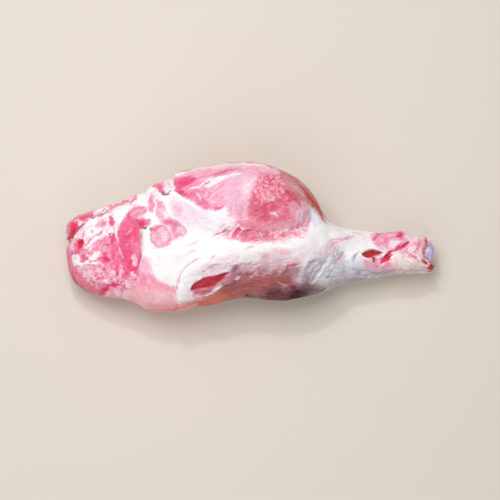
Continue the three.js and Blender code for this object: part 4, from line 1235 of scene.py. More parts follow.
def paint_ridge(skin):
    ridge = [
        (196, 246), (230, 243), (260, 242.6), (300, 239), (330, 236), (336, 250), (300, 258), (262, 262),
        (220, 262),
    ]
    skin.patch("fat", ridge, soft=4, level=1.2, angle=10, long=24, short=6, flecks=0.12)
    pale_slope = [
        (240, 254), (262, 252), (290, 250), (310, 250), (306, 260), (280, 264), (254, 266), (238, 264),
    ]
    skin.patch("pale", pale_slope, soft=4, level=0.8, angle=14, strength=0.6)
    upper_strands = [(240, 236), (262, 232), (300, 232), (304, 240), (262, 245), (240, 244)]
    skin.strands("rose", upper_strands, angle=6, amount=0.7, width=2.4, long=18, lift=-0.4, seed=151)
    low_haze = [(250, 257), (276, 256), (300, 256), (300, 264), (276, 267), (250, 266)]
    skin.patch("pale", low_haze, soft=3.5, angle=8, strength=0.35)
    warm_spot = oval(277, 251, 5, 4, 10)
    skin.patch("flank", warm_spot, soft=3.5, level=0.5, angle=20, strength=0.5)
    pink_spot = oval(284.5, 252.6, 5, 3, 0)
    skin.patch("pink", pink_spot, soft=3, level=0.5, angle=20, strength=0.6)
    left_pink_spot = oval(263, 256.6, 7, 3, 25)
    skin.patch("pink", left_pink_spot, soft=3, level=0.4, angle=20, strength=0.65)
    fine_crease = [(242.5, 249.8), (250, 247.4), (257, 244.6), (264, 242.6)]
    skin.stroke("rose", fine_crease, width=0.7, lift=-0.8, strength=0.55)
    short_line = [(228, 253), (230.6, 251.4), (233, 250)]
    skin.stroke("pink", short_line, width=1.2, lift=0.2, strength=0.8)


def paint_lobe(skin):
    lobe = [
        (176, 302), (177, 287.6), (182.3, 272), (191, 261.8), (203, 257.6), (222, 253), (250, 250),
        (262, 262), (240, 268), (232, 270), (214, 276), (198, 284), (191, 302),
    ]
    skin.patch("fat", lobe, soft=2.6, level=1.6, angle=24, long=18, short=4, flecks=0.35)
    lobe_membrane = [(196, 274), (206, 264), (222, 258), (238, 256), (234, 266), (218, 272), (202, 279)]
    skin.patch("membrane", lobe_membrane, soft=4, level=1.6, angle=26, strength=0.8, long=18, short=2.6)
    lilac_strands = [(196, 276), (206, 262), (226, 256), (240, 256), (232, 268), (212, 276)]
    skin.strands("lilac", lilac_strands, angle=26, amount=1.0, width=2.8, long=22, lift=-0.7, seed=101)
    fat_strands = [(182, 290), (190, 268), (206, 260), (226, 256), (230, 266), (204, 278), (190, 296)]
    skin.strands("fat", fat_strands, angle=32, amount=0.9, width=2.8, long=20, lift=0.7, seed=102)
    rolled_edge = [(176.4, 301), (177, 288), (182, 272.4), (191, 262), (203, 257.8)]
    skin.stroke("lilac", rolled_edge, width=1.0, lift=-1.1, strength=0.9)
    edge_glow = [(176.2, 290), (177.6, 282), (180.4, 275)]
    skin.stroke("pink", edge_glow, width=1.0, lift=-0.6, strength=0.6)
    edge_shade = [(191, 262.4), (194, 261), (197.6, 260.4)]
    skin.stroke("mauve", edge_shade, width=0.8, lift=-0.8, strength=0.5)
    long_wrinkle = [(202, 271), (207, 268.4), (212.4, 265.8), (221.4, 263)]
    skin.stroke("mauve", long_wrinkle, width=0.7, lift=-0.7, strength=0.6)
    rose_nick = [(211, 259), (213, 257.2), (215.4, 255.4)]
    skin.stroke("rose", rose_nick, width=0.9, lift=-0.8, strength=0.8)
    pink_spot = oval(212.6, 269.4, 3, 2.2, 40)
    skin.patch("pink", pink_spot, soft=1.6, angle=30, strength=0.6)
    pink_line = [(216, 265.6), (221, 263.6)]
    skin.stroke("pink", pink_line, width=0.9, strength=0.5)
    # Brownish near side below the lobe and the ridge, darker in part from painted shade where it turns from
    # the light
    slope = [
        (226, 277), (233, 270), (242, 271), (250.5, 273), (260, 271), (271, 269), (284, 268), (296, 268),
        (302, 276), (318, 288), (312, 297), (288, 303), (262, 301), (236, 302), (208, 309), (196, 313),
        (194, 305), (206, 296), (218, 288),
    ]
    upper_slope = [
        (230, 272), (242, 266), (262, 262), (284, 260), (300, 262), (308, 274), (304, 286), (280, 284),
        (244, 284),
    ]
    # painted shade: dusk where the ridge turns down, then the mauve slope, darker in part from painted shade
    skin.patch("dusk", upper_slope, soft=6.0, level=0.2, angle=16, strength=0.8, long=18, short=3,
               frayed=3)
    skin.patch("mauve", slope, soft=4.6, level=0.0, angle=12, long=24, short=3, flecks=0.5, frayed=3.2)
    rust_belt = [
        (212, 297), (236, 288), (262, 276), (284, 274), (286, 282), (262, 286), (240, 296), (214, 305),
    ]
    skin.patch("rust", rust_belt, soft=5, level=-0.1, angle=14, strength=0.4)
    rust_foot = [(200, 300), (216, 292), (230, 290), (236, 298), (220, 306), (200, 312)]
    skin.patch("rust", rust_foot, soft=5, level=0.1, angle=10, strength=0.8)
    salmon_foot = [(182, 303), (200, 299), (216, 293), (226, 297), (214, 308), (190, 315)]
    skin.patch("salmon", salmon_foot, soft=5, level=0.2, angle=10, strength=0.85)
    blood_line = [(196, 304.6), (204, 304), (212, 302.6), (217, 301)]
    skin.stroke("blood", blood_line, width=1.4, lift=-0.2, strength=0.5)
    left_blood_line = [(173, 309), (180, 310.6), (186, 309)]
    skin.stroke("blood", left_blood_line, width=1.6, lift=-0.2, strength=0.45)
    foot_light = [(184, 309), (190, 307), (196, 304)]
    skin.stroke("gland", foot_light, width=0.9, lift=0.3, strength=0.7)
    # Folds where the ridge breaks down to the near side
    fold_mouth = [(232, 267), (238, 264.6), (240, 268), (238.6, 275), (233, 274)]
    skin.patch("mauve", fold_mouth, soft=1.4, level=-1.2, angle=60, strength=0.9)
    fold_top = [(237, 264.8), (243, 263.4), (248, 264.4), (251.4, 262)]
    skin.stroke("rose", fold_top, width=1.3, lift=-0.9, strength=0.7)
    pale_strands = [(236, 268), (252, 262), (284, 258), (300, 262), (294, 272), (262, 276), (240, 280)]
    skin.strands("pale", pale_strands, angle=18, amount=0.8, width=2.6, lift=0.6, soft=4, seed=123)
    # painted highlights on the fold: a pale pink patch and the streak after it
    fold_highlight = [(239.6, 266), (246, 265), (253, 267), (250, 271), (243, 272)]
    skin.patch("gland", fold_highlight, soft=2.4, level=0.5, angle=20, strength=0.5)
    pad_light = [(252, 270.4), (256, 267.6), (262, 264.8)]
    skin.stroke("pale", pad_light, width=1.2, lift=0.8, strength=0.6)
    # painted shade in the crease
    fold_crease = [(239, 275.6), (245, 273.8), (250.5, 273.8), (255.6, 269.4)]
    skin.stroke("crease", fold_crease, width=1.3, lift=-1.3)
    fold_lip = [(235, 279.6), (238.6, 277.6), (241.4, 276.6)]
    skin.stroke("pale", fold_lip, width=1.0, lift=0.6, strength=0.6)
    dull_strands = [(250, 266), (284, 262), (296, 264), (290, 270), (256, 276)]
    skin.strands("gland", dull_strands, angle=18, amount=0.7, width=3.0, long=20, soft=3.5, seed=105)
    cut_light = [(284, 266.4), (288, 264.6), (294, 262.6)]
    skin.stroke("pale", cut_light, width=0.9, lift=0.7, strength=0.8)
    cut_line = [(285, 268.8), (289, 266.4), (293, 265), (299, 264.4)]
    skin.stroke("lean", cut_line, width=1.7, lift=-1.2, strength=0.8)
    # painted shade in the crease
    cut_crease = [(287, 270), (285, 273), (280, 275)]
    skin.stroke("crease", cut_crease, width=1.3, lift=-1.0, strength=0.7)
    cut_haze = oval(288, 261.6, 7, 3, 8)
    skin.patch("pale", cut_haze, soft=3, angle=10, strength=0.5)
    # painted shade by the shank
    shade_by_the_shank = [(290, 269), (299, 267), (308, 270), (306, 282), (298, 288), (291, 280)]
    skin.patch("dusk", shade_by_the_shank, soft=3.5, level=0.2, angle=60, strength=0.9)
    lilac_spot = oval(300, 279.6, 6, 3, 10)
    skin.patch("lilac", lilac_spot, soft=3, level=0.6, angle=20, strength=0.6)
    low_fold = [(276.6, 281.6), (284, 285), (290, 289.6), (296, 294)]
    skin.stroke("gland", low_fold, width=1.3, lift=0.6, strength=0.55)
    low_fold_line = [(287, 284), (292, 285.6), (298, 287.6)]
    skin.stroke("rose", low_fold_line, width=1.5, lift=-0.6, strength=0.7)
    under_shadow = [
        (258, 299), (266, 292), (276, 288), (288, 288), (300, 287), (312, 288), (306, 296), (288, 302),
        (268, 303),
    ]
    skin.patch("purple", under_shadow, soft=3.4, level=-0.4, angle=8, strength=0.85, frayed=3)
    shadow_haze = oval(285, 289, 5, 2.4, -20)
    skin.patch("dusk", shadow_haze, soft=2.4, level=-0.1, angle=-20, strength=0.35)
    # painted shadow: near-black along the foot where the leg meets the floor
    shaded_rim = [(247, 297), (258, 299.6), (270, 301.6), (284, 302), (297, 298.6), (310, 296), (323, 292)]
    skin.stroke("dark", shaded_rim, width=2.6, strength=0.95, taper=False)
    # painted shade: purple at the foot of the near side
    purple_wedge = [(286, 290), (296, 284), (308, 285), (318, 288), (312, 294), (296, 298)]
    skin.patch("purple", purple_wedge, soft=3, level=0.0, angle=10, strength=0.7)
    # painted shadow: near-black under the foot's corner
    shadow_wedge = [
        (290, 297), (300, 289), (312, 287), (326, 288), (334, 288), (320, 296), (304, 300), (292, 302),
    ]
    skin.patch("dark", shadow_wedge, soft=2.4, level=0.0, angle=10, strength=0.9)
    muscle_strands = [(236, 284), (262, 278), (270, 284), (250, 296), (232, 298)]
    skin.strands("dome", muscle_strands, angle=16, amount=0.6, width=2.4, long=22, lift=-0.4, seed=108)
    # painted shade: a mauve veil over the slope
    mauve_veil = [(244, 269), (262, 267), (286, 266), (298, 270), (296, 279), (262, 281), (244, 279)]
    skin.patch("mauve", mauve_veil, soft=5, angle=14, strength=0.4)
    # painted shade at the fold's mouth
    fold_mouth_shade = oval(234, 273, 6, 4, 20)
    skin.patch("dusk", fold_mouth_shade, soft=3, angle=20, strength=0.4)
    # Pocket between two muscles
    lens = [
        (191, 290.4), (193, 284.6), (199.4, 280.6), (206.4, 277.6), (215, 276), (222.5, 273.8),
        (228.6, 272), (224, 278.6), (217.6, 284.4), (209.6, 288.4), (201, 290),
    ]
    upper_lip = [
        (186, 296), (190, 283), (200, 277), (214, 272), (232, 268), (224, 274), (206, 280), (194, 288),
    ]
    skin.patch("membrane", upper_lip, soft=2.4, level=2.0, angle=24)
    lower_lip = [
        (193, 291), (204, 289.6), (214, 286.6), (222, 281), (232, 273), (236, 276), (224, 286),
        (214, 292), (200, 297),
    ]
    # painted shade on the pocket's lower lip
    skin.patch("dusk", lower_lip, soft=2.4, level=0.2, angle=26, strength=0.9)
    inner_lip = [(193, 290), (204, 288), (215, 284), (216, 288), (209, 293), (198, 295)]
    skin.patch("rose", inner_lip, soft=1.6, level=-0.8, angle=26, strength=0.9)
    lip_shade = [(200, 290), (210, 288), (217, 284.6), (214, 290), (205, 294)]
    skin.patch("mauve", lip_shade, soft=1.6, level=-0.8, angle=26, strength=0.5)
    pocket_corner = [(221, 279), (228, 273.6), (236, 271.6), (233, 278), (225, 282)]
    skin.patch("magenta", pocket_corner, soft=2.6, level=-0.2, angle=30, strength=0.45)
    skin.cut("blood", lens, soft=1.1, level=-3.6, angle=24, long=14, short=3)
    pocket_light = [(193, 289.4), (197, 284), (206, 280.4), (214, 279.4), (204, 285), (198, 289)]
    skin.cut("lean", pocket_light, soft=1.6, level=-3.0, angle=24, strength=0.45)
    pocket_edge = [(193, 283.4), (199.6, 279.4), (208, 276), (220, 273.4), (231, 270)]
    skin.stroke("magenta", pocket_edge, width=0.7, lift=-0.4, strength=0.8)
    left_lip = [(191, 292.4), (195, 295.6), (202, 297.6)]
    skin.stroke("lilac", left_lip, width=1.5, lift=0.9)
    lip_fold = [(204, 296.4), (211, 293), (217, 289), (222, 285)]
    skin.stroke("membrane", lip_fold, width=1.1, lift=1.2, strength=0.9)
    lip_tip = [(214, 291), (218.6, 288), (221.6, 285.4)]
    skin.stroke("fat", lip_tip, width=0.9, lift=0.8, strength=0.9)


def paint_shank(skin):
    shank = [
        (318, 226), (332, 226), (350, 229), (372, 233), (386, 246), (386, 268), (376, 279), (350, 284),
        (330, 289), (316, 291), (304, 284), (304, 268), (312, 250), (316, 240),
    ]
    skin.patch("fat", shank, soft=4, level=0.8, angle=10, long=18, short=6, flecks=0.1)
    lower_sinew = [
        (330, 262), (346, 258), (362, 262), (386, 264), (388, 276), (362, 282), (336, 286), (322, 288),
    ]
    skin.patch("sinew", lower_sinew, soft=5, level=0.4, angle=8)
    # painted shade: bluish grey on the shank's lower side, darkest at its edge
    shaded_side = [
        (322, 288), (336, 274), (350, 268), (366, 268), (390, 270), (390, 278), (364, 283), (336, 290),
    ]
    skin.patch("grey", shaded_side, soft=5, level=0.0, angle=8, strength=0.8, long=10, short=4)
    shaded_lower_edge = [(312, 292), (330, 286), (350, 281), (372, 279), (374, 284), (350, 288), (320, 295)]
    skin.patch("grey", shaded_lower_edge, soft=2.2, level=0.0, angle=8, strength=0.9)
    side_strands = [(350, 272), (372, 270), (388, 271), (384, 278), (360, 280)]
    skin.strands("sinew", side_strands, angle=14, amount=0.9, width=2.4, long=9, lift=0.7, soft=2,
                 seed=112)
    # Pink wisps on top of the shank
    pale_wisp = [(326, 248), (332, 240), (346, 236), (356, 236), (350, 242), (338, 248), (330, 254)]
    skin.patch("pale", pale_wisp, soft=3.5, angle=38, strength=0.6)
    pink_wisps = (
        [(326, 244), (333, 240), (341, 239), (352, 238.4)],
        [(330, 247), (336, 242.6), (344, 240.6)],
        [(352, 233.6), (358, 233.4), (363, 235)],
        [(344, 240), (349, 237), (355, 236.6)],
    )
    for path in pink_wisps:
        skin.stroke("pink", path, width=1.0, lift=-0.4, strength=0.8)
    # Wrinkled membrane running up from the near side, greyed by painted shade in its wrinkles
    wrinkled = [
        (300, 276), (308, 262), (320, 250), (332, 246), (344, 250), (340, 264), (328, 282), (312, 291),
        (300, 288),
    ]
    skin.patch("sinew", wrinkled, soft=5, level=0.4, angle=50, strength=0.8, long=12, short=5)
    # painted shade in the folds of the membrane
    shaded_fold = [
        (300, 288), (304, 272), (312, 262), (321, 254), (326, 256), (322, 268), (316, 280), (308, 291),
    ]
    skin.patch("dusk", shaded_fold, soft=5, level=0.0, angle=50, strength=0.7, long=12, short=4)
    # painted shade in the wrinkles: grey strands, hollow and lines
    skin.strands("grey", wrinkled, angle=48, amount=0.6, width=4.0, long=12, lift=-0.7, soft=5, seed=116)
    shaded_hollow = [(303, 276), (309, 266), (317, 261), (320, 266), (312, 277), (304, 283)]
    skin.patch("grey", shaded_hollow, soft=4, level=-0.4, angle=50, strength=0.55, frayed=2.5)
    shaded_wrinkles = (
        [(305, 270.6), (309, 265), (316, 261)],
        [(314, 276), (320, 268.6), (325.6, 261)],
        [(322, 266), (326, 259.6), (331, 253)],
        [(306, 282), (312, 276.6), (316, 271)],
    )
    for path in shaded_wrinkles:
        skin.stroke("grey", path, width=1.3, lift=-0.8, strength=0.5)
    # white crests of the wrinkles; the first and longest is also a painted highlight
    white_wrinkles = (
        [(317, 280), (322, 272), (328, 263), (333, 257), (338, 252)],
        [(313, 284), (318, 277), (323, 271)],
        [(308, 272), (313, 266.6), (319, 262)],
        [(322, 280), (328, 272), (335, 264)],
        [(310, 280), (314, 273), (320, 266)],
        [(325, 284), (331, 277), (338, 270)],
    )
    for path in white_wrinkles:
        skin.stroke("sinew", path, width=1.4, lift=0.9, strength=0.7)
    rose_line = [(334, 264.4), (338, 259.6), (341.4, 255.4)]
    skin.stroke("rose", rose_line, width=1.0, lift=-0.7, strength=0.8)
    pink_line = [(326, 250), (330, 246), (334, 243)]
    skin.stroke("pink", pink_line, width=1.4, lift=-0.4, strength=0.7)
    # painted shade in the fine wrinkles
    fine_wrinkles = [(326, 270), (338, 266), (350, 268), (344, 278), (328, 284)]
    skin.strands("grey", fine_wrinkles, angle=40, amount=0.8, width=2.4, long=6, lift=-0.6, seed=118)
    fat_wrinkles = [(308, 288), (316, 280), (330, 276), (336, 282), (320, 292)]
    skin.strands("fat", fat_wrinkles, angle=40, amount=0.8, width=2.6, long=8, lift=0.8, soft=2.5,
                 seed=121)
    # painted shade: purple at the foot of the shank
    purple_corner = [(297, 286), (306, 282), (316, 284), (324, 288), (312, 293), (300, 295)]
    skin.patch("purple", purple_corner, soft=2.8, angle=20, strength=0.75)
    # painted shadow: near-black at the shank's foot
    shadow_corner = [(294, 293), (304, 288), (314, 288), (324, 290), (310, 296), (298, 297)]
    skin.patch("dark", shadow_corner, soft=2.4, angle=20, strength=0.5)
    upper_haze = oval(326, 251, 9, 6, 30)
    skin.patch("pale", upper_haze, soft=3.5, angle=40, strength=0.6)
    middle_haze = oval(322, 262, 9, 5, 50)
    skin.patch("sinew", middle_haze, soft=3.5, angle=50, strength=0.4)
    right_haze = [(333, 268), (350, 266), (354, 275), (338, 280)]
    skin.patch("sinew", right_haze, soft=3.5, angle=20, strength=0.6)
    # painted shade along the shank's foot
    purple_rim = [(312, 294), (326, 290.6), (340, 287)]
    skin.stroke("purple", purple_rim, width=1.8, strength=0.5)
    # painted shade in the corner at the foot
    shaded_corner = [(314, 281), (324, 280), (326, 286), (316, 288)]
    skin.patch("dusk", shaded_corner, soft=2.4, angle=30, strength=0.4)


def paint_hock(skin):
    top = [
        (371, 238), (375, 233.6), (386, 230.6), (398, 229), (407, 232), (412, 240), (404, 247),
        (388, 250), (378, 248),
    ]
    skin.patch("pink", top, soft=2.4, level=0.5, angle=10, long=8, short=3, flecks=0.6)
    membrane_top = [(352, 232), (366, 233.4), (374, 236), (370, 244), (356, 244)]
    skin.patch("membrane", membrane_top, soft=4, level=0.6, angle=5, strength=0.6)
    rose_corner = [(372.6, 238.6), (375, 235.4), (379.6, 234.6), (378, 237.6), (374, 240)]
    skin.patch("rose", rose_corner, soft=1.2, level=-0.2, angle=30)
    hot = [(396, 239), (397.6, 234.6), (400, 231), (404.6, 231), (405.6, 234.6), (401, 237.6)]
    skin.patch("lean", hot, soft=1.1, level=-0.4, angle=40)
    deep_spot = oval(401.6, 232, 2.0, 1.3, -20)
    skin.patch("deep", deep_spot, soft=0.8, level=-0.9)
    magenta_spot = oval(386.6, 242, 3.6, 2.8, -30)
    skin.patch("magenta", magenta_spot, soft=1.8, level=0.0, angle=-30, strength=0.6)
    top_strands = [(374, 242), (386, 236), (398, 238), (392, 246), (380, 248)]
    skin.strands("fat", top_strands, angle=35, amount=0.6, width=2.2, long=8, lift=0.6, soft=2, seed=131)
    pale_fold = [(388, 246), (392, 241.6), (400, 240), (405, 240.6), (400, 244.6), (392, 248.6)]
    skin.patch("pale", pale_fold, soft=1.4, level=1.0, angle=15)
    knuckle = [
        (404, 232), (412, 232.6), (422, 236), (428, 240), (423, 252), (423, 262), (414, 262), (404, 256),
        (400, 250), (406, 243),
    ]
    skin.patch("gland", knuckle, soft=1.8, level=0.6, angle=-50, long=8, short=2.6)
    skin.patch("pink", knuckle, soft=2.4, angle=50, strength=0.35, long=8, short=2.6)
    knuckle_membrane = [(405, 233), (414, 233.6), (422, 237), (418, 241), (408, 239)]
    skin.patch("membrane", knuckle_membrane, soft=1.8, level=0.8, angle=-20, strength=0.8)
    skin.strands("rose", knuckle, angle=55, amount=0.9, width=2.2, long=10, lift=-0.8, soft=2, seed=134)
    skin.strands("fat", knuckle, angle=48, amount=0.8, width=2.2, long=12, lift=0.9, soft=2, seed=137)
    knuckle_folds = (
        [(410, 242), (405.6, 248.6), (396.6, 253.4)],
        [(418.6, 243), (411.6, 252.4), (401, 256)],
        [(412, 239), (408, 246), (400, 251.6)],
    )
    for path in knuckle_folds:
        skin.stroke("pale", path, width=0.9, lift=0.9)
    knuckle_crease = [(410, 255.6), (414, 257), (418, 258.6)]
    skin.stroke("rose", knuckle_crease, width=1.2, lift=-0.6, strength=0.8)
    knuckle_spot = oval(415.6, 244, 2.2, 1.8, 40)
    skin.patch("rose", knuckle_spot, soft=1.2, level=-0.3, angle=40, strength=0.7)
    pad = [
        (391.6, 262), (398, 256.6), (408, 257), (418, 260), (422, 265), (420, 269.6), (404, 270),
        (393, 269),
    ]
    skin.patch("cream", pad, soft=1.6, level=1.4, long=6, short=3)
    skin.strands("gland", pad, angle=20, amount=0.7, width=2.2, long=6, lift=-0.5, soft=1.5, seed=140)
    skin.strands("fat", pad, angle=60, amount=0.7, width=2.2, long=4, lift=0.8, soft=1.5, seed=141)
    # painted shadow line under the pad's edge
    pad_shadow_line = [(390, 270.6), (402, 270.4), (416, 271), (428, 271)]
    skin.stroke("mauve", pad_shadow_line, width=1.3, lift=-0.3, strength=0.5, taper=False)
    pad_rim = [(392, 272.6), (406, 272.6), (420, 272.6)]
    skin.stroke("gland", pad_rim, width=1.2, strength=0.6)
    # White fold left of the slit, and its lower lip
    white_fold = [(351, 262), (353, 254), (358, 250.6), (362, 252), (362, 260), (356, 265)]
    skin.patch("sinew", white_fold, soft=1.6, level=0.6, angle=60)
    white_fold_shade = [(353.4, 262), (355, 257), (359, 254)]
    skin.stroke("grey", white_fold_shade, width=1.3, lift=-1.0, strength=0.7)
    white_fold_top = [(352, 256), (355, 252.4), (360, 251.6)]
    skin.stroke("fat", white_fold_top, width=1.2, lift=1.2)
    soft_pink = [(374, 262), (380, 258), (388, 258), (392, 262), (390, 268), (382, 270), (374, 267)]
    skin.patch("pink", soft_pink, soft=2.6, level=0.4, angle=40, strength=0.85, long=6, short=3)
    pink_veil = [(362, 258), (372, 261), (386, 260), (400, 264), (390, 271), (376, 272), (364, 267)]
    skin.patch("pink", pink_veil, soft=3, angle=20, strength=0.4, long=6, short=3)
    rose_strands = [(366, 258), (388, 256), (394, 264), (386, 271), (370, 269)]
    skin.strands("rose", rose_strands, angle=35, amount=0.8, width=2.4, long=8, lift=-0.4, soft=2.5,
                 seed=161)
    pale_strands = [(366, 260), (388, 258), (394, 266), (384, 272), (368, 269)]
    skin.strands("pale", pale_strands, angle=25, amount=0.8, width=2.2, long=7, lift=0.6, soft=2.5,
                 seed=162)
    slit_apron = [(364, 261), (372, 263), (378, 267), (384, 271), (374, 270), (366, 266)]
    skin.patch("gland", slit_apron, level=0.5, angle=-30, strength=0.7)
    hole = [
        (362, 254), (366.6, 250.8), (373.2, 249.4), (379.6, 251.2), (384, 253.4), (379.6, 255.4),
        (374.4, 256.6), (368.6, 257.6), (364.8, 256.4),
    ]
    slit_lip = [(360, 253), (362.4, 257.6), (367, 260.4), (372, 262)]
    skin.stroke("pale", slit_lip, width=1.7, lift=1.2)
    slit_lip_line = [(364, 261), (369, 263), (375, 267)]
    skin.stroke("pink", slit_lip_line, width=1.2, lift=-0.3, strength=0.7)
    skin.cut("blood", hole, soft=0.9, level=-4.4, long=6, short=2)
    blood_drip = [(372, 257), (374, 259.6), (374.6, 262)]
    skin.stroke("blood", blood_drip, width=1.9, lift=-0.8)
    lean_wedge = [
        (380, 262.6), (382, 257.6), (387, 252.4), (391, 251.6), (392, 255), (388, 259.6), (384, 262.6),
    ]
    skin.patch("lean", lean_wedge, soft=1.2, level=-1.4, angle=50)
    blood_wedge = [(385, 256.6), (388.6, 252.6), (391.4, 252.8), (390, 256.6), (386.6, 259)]
    skin.patch("blood", blood_wedge, soft=1.0, level=-1.6, angle=50, strength=0.8)
    long_gash = [(390, 253.4), (396, 249.6), (402, 247), (407, 243.6), (409.6, 241)]
    skin.stroke("lean", long_gash, width=1.7, lift=-1.3)
    gash_floor = [(402, 247), (406, 244.6), (408.6, 242)]
    skin.stroke("deep", gash_floor, width=1.0, lift=-1.0)
    gash_lip = [(382.4, 247), (385.6, 250), (384, 255)]
    skin.stroke("pale", gash_lip, width=1.2, lift=1.0)
    wedge_lip = [(378, 258.4), (382, 256.4), (385, 252)]
    skin.stroke("fat", wedge_lip, width=1.1, lift=1.0)
    # Torn end round the knuckle
    red_tag = [(429, 265), (434, 264.6), (436, 268), (432, 271), (428, 270)]
    skin.patch("blood", red_tag, soft=1.1, level=0.4)
    lower_tear = [(422.4, 258.6), (425, 259.4), (428, 264), (426.6, 266), (423.4, 263)]
    skin.patch("blood", lower_tear, soft=0.9, level=-0.4)
    tear_line = [(423.4, 252.6), (425, 258), (427, 263)]
    skin.stroke("lean", tear_line, width=0.9, lift=-0.4)
    upper_tear = [(425.4, 238), (428, 238), (428.6, 242), (426.6, 244.6), (425, 242)]
    skin.patch("deep", upper_tear, soft=0.9, level=-0.3)
    white_tag = [(428.6, 237.6), (432.6, 237.6), (434, 241.6), (430.6, 244), (427.6, 244.6)]
    skin.patch("fat", white_tag, soft=1.0, level=0.9)


# Forms and fine relief
def distance_to_path(spots, path):
    nearest = np.full(len(spots), np.inf)
    for a, b in zip(np.array(path[:-1], float), np.array(path[1:], float)):
        nearest = np.minimum(nearest, along_line(spots, a, b)[0])
    return nearest


# Each as (depth or height, width, path of X and Y), in mm
GROOVES = [
    (6, 9, [(-58, -12), (-20, -12), (20, -13), (52, -11), (72, 2), (82, 20)]),
    (5, 6, [(-250, -6), (-236, 6), (-222, 20), (-196, 32), (-170, 40)]),
    (4, 7, [(-150, 2), (-149, -20), (-152, -48)]),
    (6, 8, [(-104, -92), (-103, -72), (-94, -50), (-70, -36), (-34, -28)]),
    (4, 12, [(-14, -60), (26, -50), (58, -56)]),
    (4, 9, [(104, -8), (124, -30), (132, -48)]),
    (4, 5, [(170, -32), (192, -26), (212, -14)]),
]
RIDGES = [
    (6, 14, [(-96, -86), (-92, -66), (-78, -50), (-50, -42)]),
    (5, 16, [(-30, -26), (20, -24), (70, -20), (110, -14)]),
    (5, 9, [(-248, 10), (-225, 24), (-196, 36), (-170, 44)]),
    (4, 8, [(150, -32), (175, -38), (200, -36), (232, -34)]),
    (4, 8, [(172, -6), (196, -4), (222, -10)]),
]
# Each as (height, middle, half lengths)
PADS = [
    (4, (12, 40), (72, 44)),
    (-5, (-164, -16), (20, 40)),
    (-5, (-110, -10), (22, 18)),
    (3, (204, -34), (18, 9)),
]
# Each as (depth, width, path of X, Y and Z)
SIDE_SEAMS = [
    (4, 8, [(-190, -80, 28), (-110, -99, 20), (-40, -90, 20), (20, -85, 24), (84, -78, 30)]),
    (4, 8, [(-190, 40, 32), (-100, 82, 28), (-20, 98, 30), (50, 82, 26), (92, 42, 30)]),
]


# The cut ends, as (Y, width, reach): tags of flesh beside the knuckle, and the notch under the flap
HOCK_TAGS = [(-3, 8, 12), (-41, 8, 13)]
HOCK_HOLLOW = 3
HOCK_RAGGED = 2.2
HOCK_TAG_START = 218
RUMP_NOTCH = (-5, 5, 5)
RUMP_NOTCH_END = -232


def end_reach(points):
    """How far the cut ends reach along X beyond a flat cut, in mm."""
    x, y, z = points.T
    reach = -HOCK_HOLLOW + sum(length * np.exp(-(((y - at) / width) ** 2)) for at, width, length in HOCK_TAGS)
    ragged = HOCK_RAGGED * rough(points, 8, 2, 29)
    at, width, depth = RUMP_NOTCH
    notch = smoothstep(-x, -RUMP_NOTCH_END, -RUMP_END) * depth * np.exp(-(((y - at) / width) ** 2))
    return smoothstep(x, HOCK_TAG_START, FLESH_END) * (reach + ragged) + notch


# Forms fade out towards the sides, by the normal's upward share, and towards the rump's cut face, in mm
FORMS_FROM, FORMS_FULL = -0.1, 0.35
FORMS_START = 20
PAD_RIM = 1.25
PAD_SLOPE = 0.5


def form_relief(points, normals):
    """How far the grooves, ridges and pads of the muscles lift the surface, in mm."""
    def along(path, width, places):
        return np.exp(-((distance_to_path(places, path) / width) ** 2))

    x, y = points[:, 0], points[:, 1]
    lift = np.zeros(len(x))
    for depth, width, path in GROOVES:
        lift -= depth * along(path, width, points[:, :2])
    for height, width, path in RIDGES:
        lift += height * along(path, width, points[:, :2])
    for height, at, radii in PADS:
        away = np.hypot((x - at[0]) / radii[0], (y - at[1]) / radii[1])
        lift += height * smoothstep(PAD_RIM - away, 0, PAD_SLOPE)
    lift *= smoothstep(normals[:, 2], FORMS_FROM, FORMS_FULL) * smoothstep(x - RUMP_END, 0, FORMS_START)
    for depth, width, path in SIDE_SEAMS:
        lift -= depth * along(path, width, points)
    return lift


LUMP_HEIGHT, LUMP_SIZE = 0.9, 24
LEAN_LUMP_SHARE = 0.6
WRINKLE_HEIGHT, WRINKLE_SIZE = 0.35, (14, 4, 4)
FAT_SMOOTHING = 0.4
FIBRE_HEIGHT, FIBRE_SIZE = 0.45, (12, 2.4, 2.4)


def fine_relief(skin):
    """Lumps in the fat, wrinkles in the membrane and the lean's fibres, in mm."""
    points = skin.points
    lumps = LUMP_HEIGHT * rough(points, LUMP_SIZE, 3, 31) * mix(LEAN_LUMP_SHARE, 1.0, skin.fat)
    wrinkles = WRINKLE_HEIGHT * rough(points, WRINKLE_SIZE, 2, 33) * (1 - FAT_SMOOTHING * skin.fat)
    fibres = FIBRE_HEIGHT * (0.5 - np.abs(noise(points, FIBRE_SIZE, 35))) * skin.fibre
    return lumps + wrinkles + fibres


BOX_MARGIN = 0.1


def keep_in_box(points):
    low, high = (np.array(corner) / MM for corner in cad_box)
    return np.clip(points, low + BOX_MARGIN, high - BOX_MARGIN)


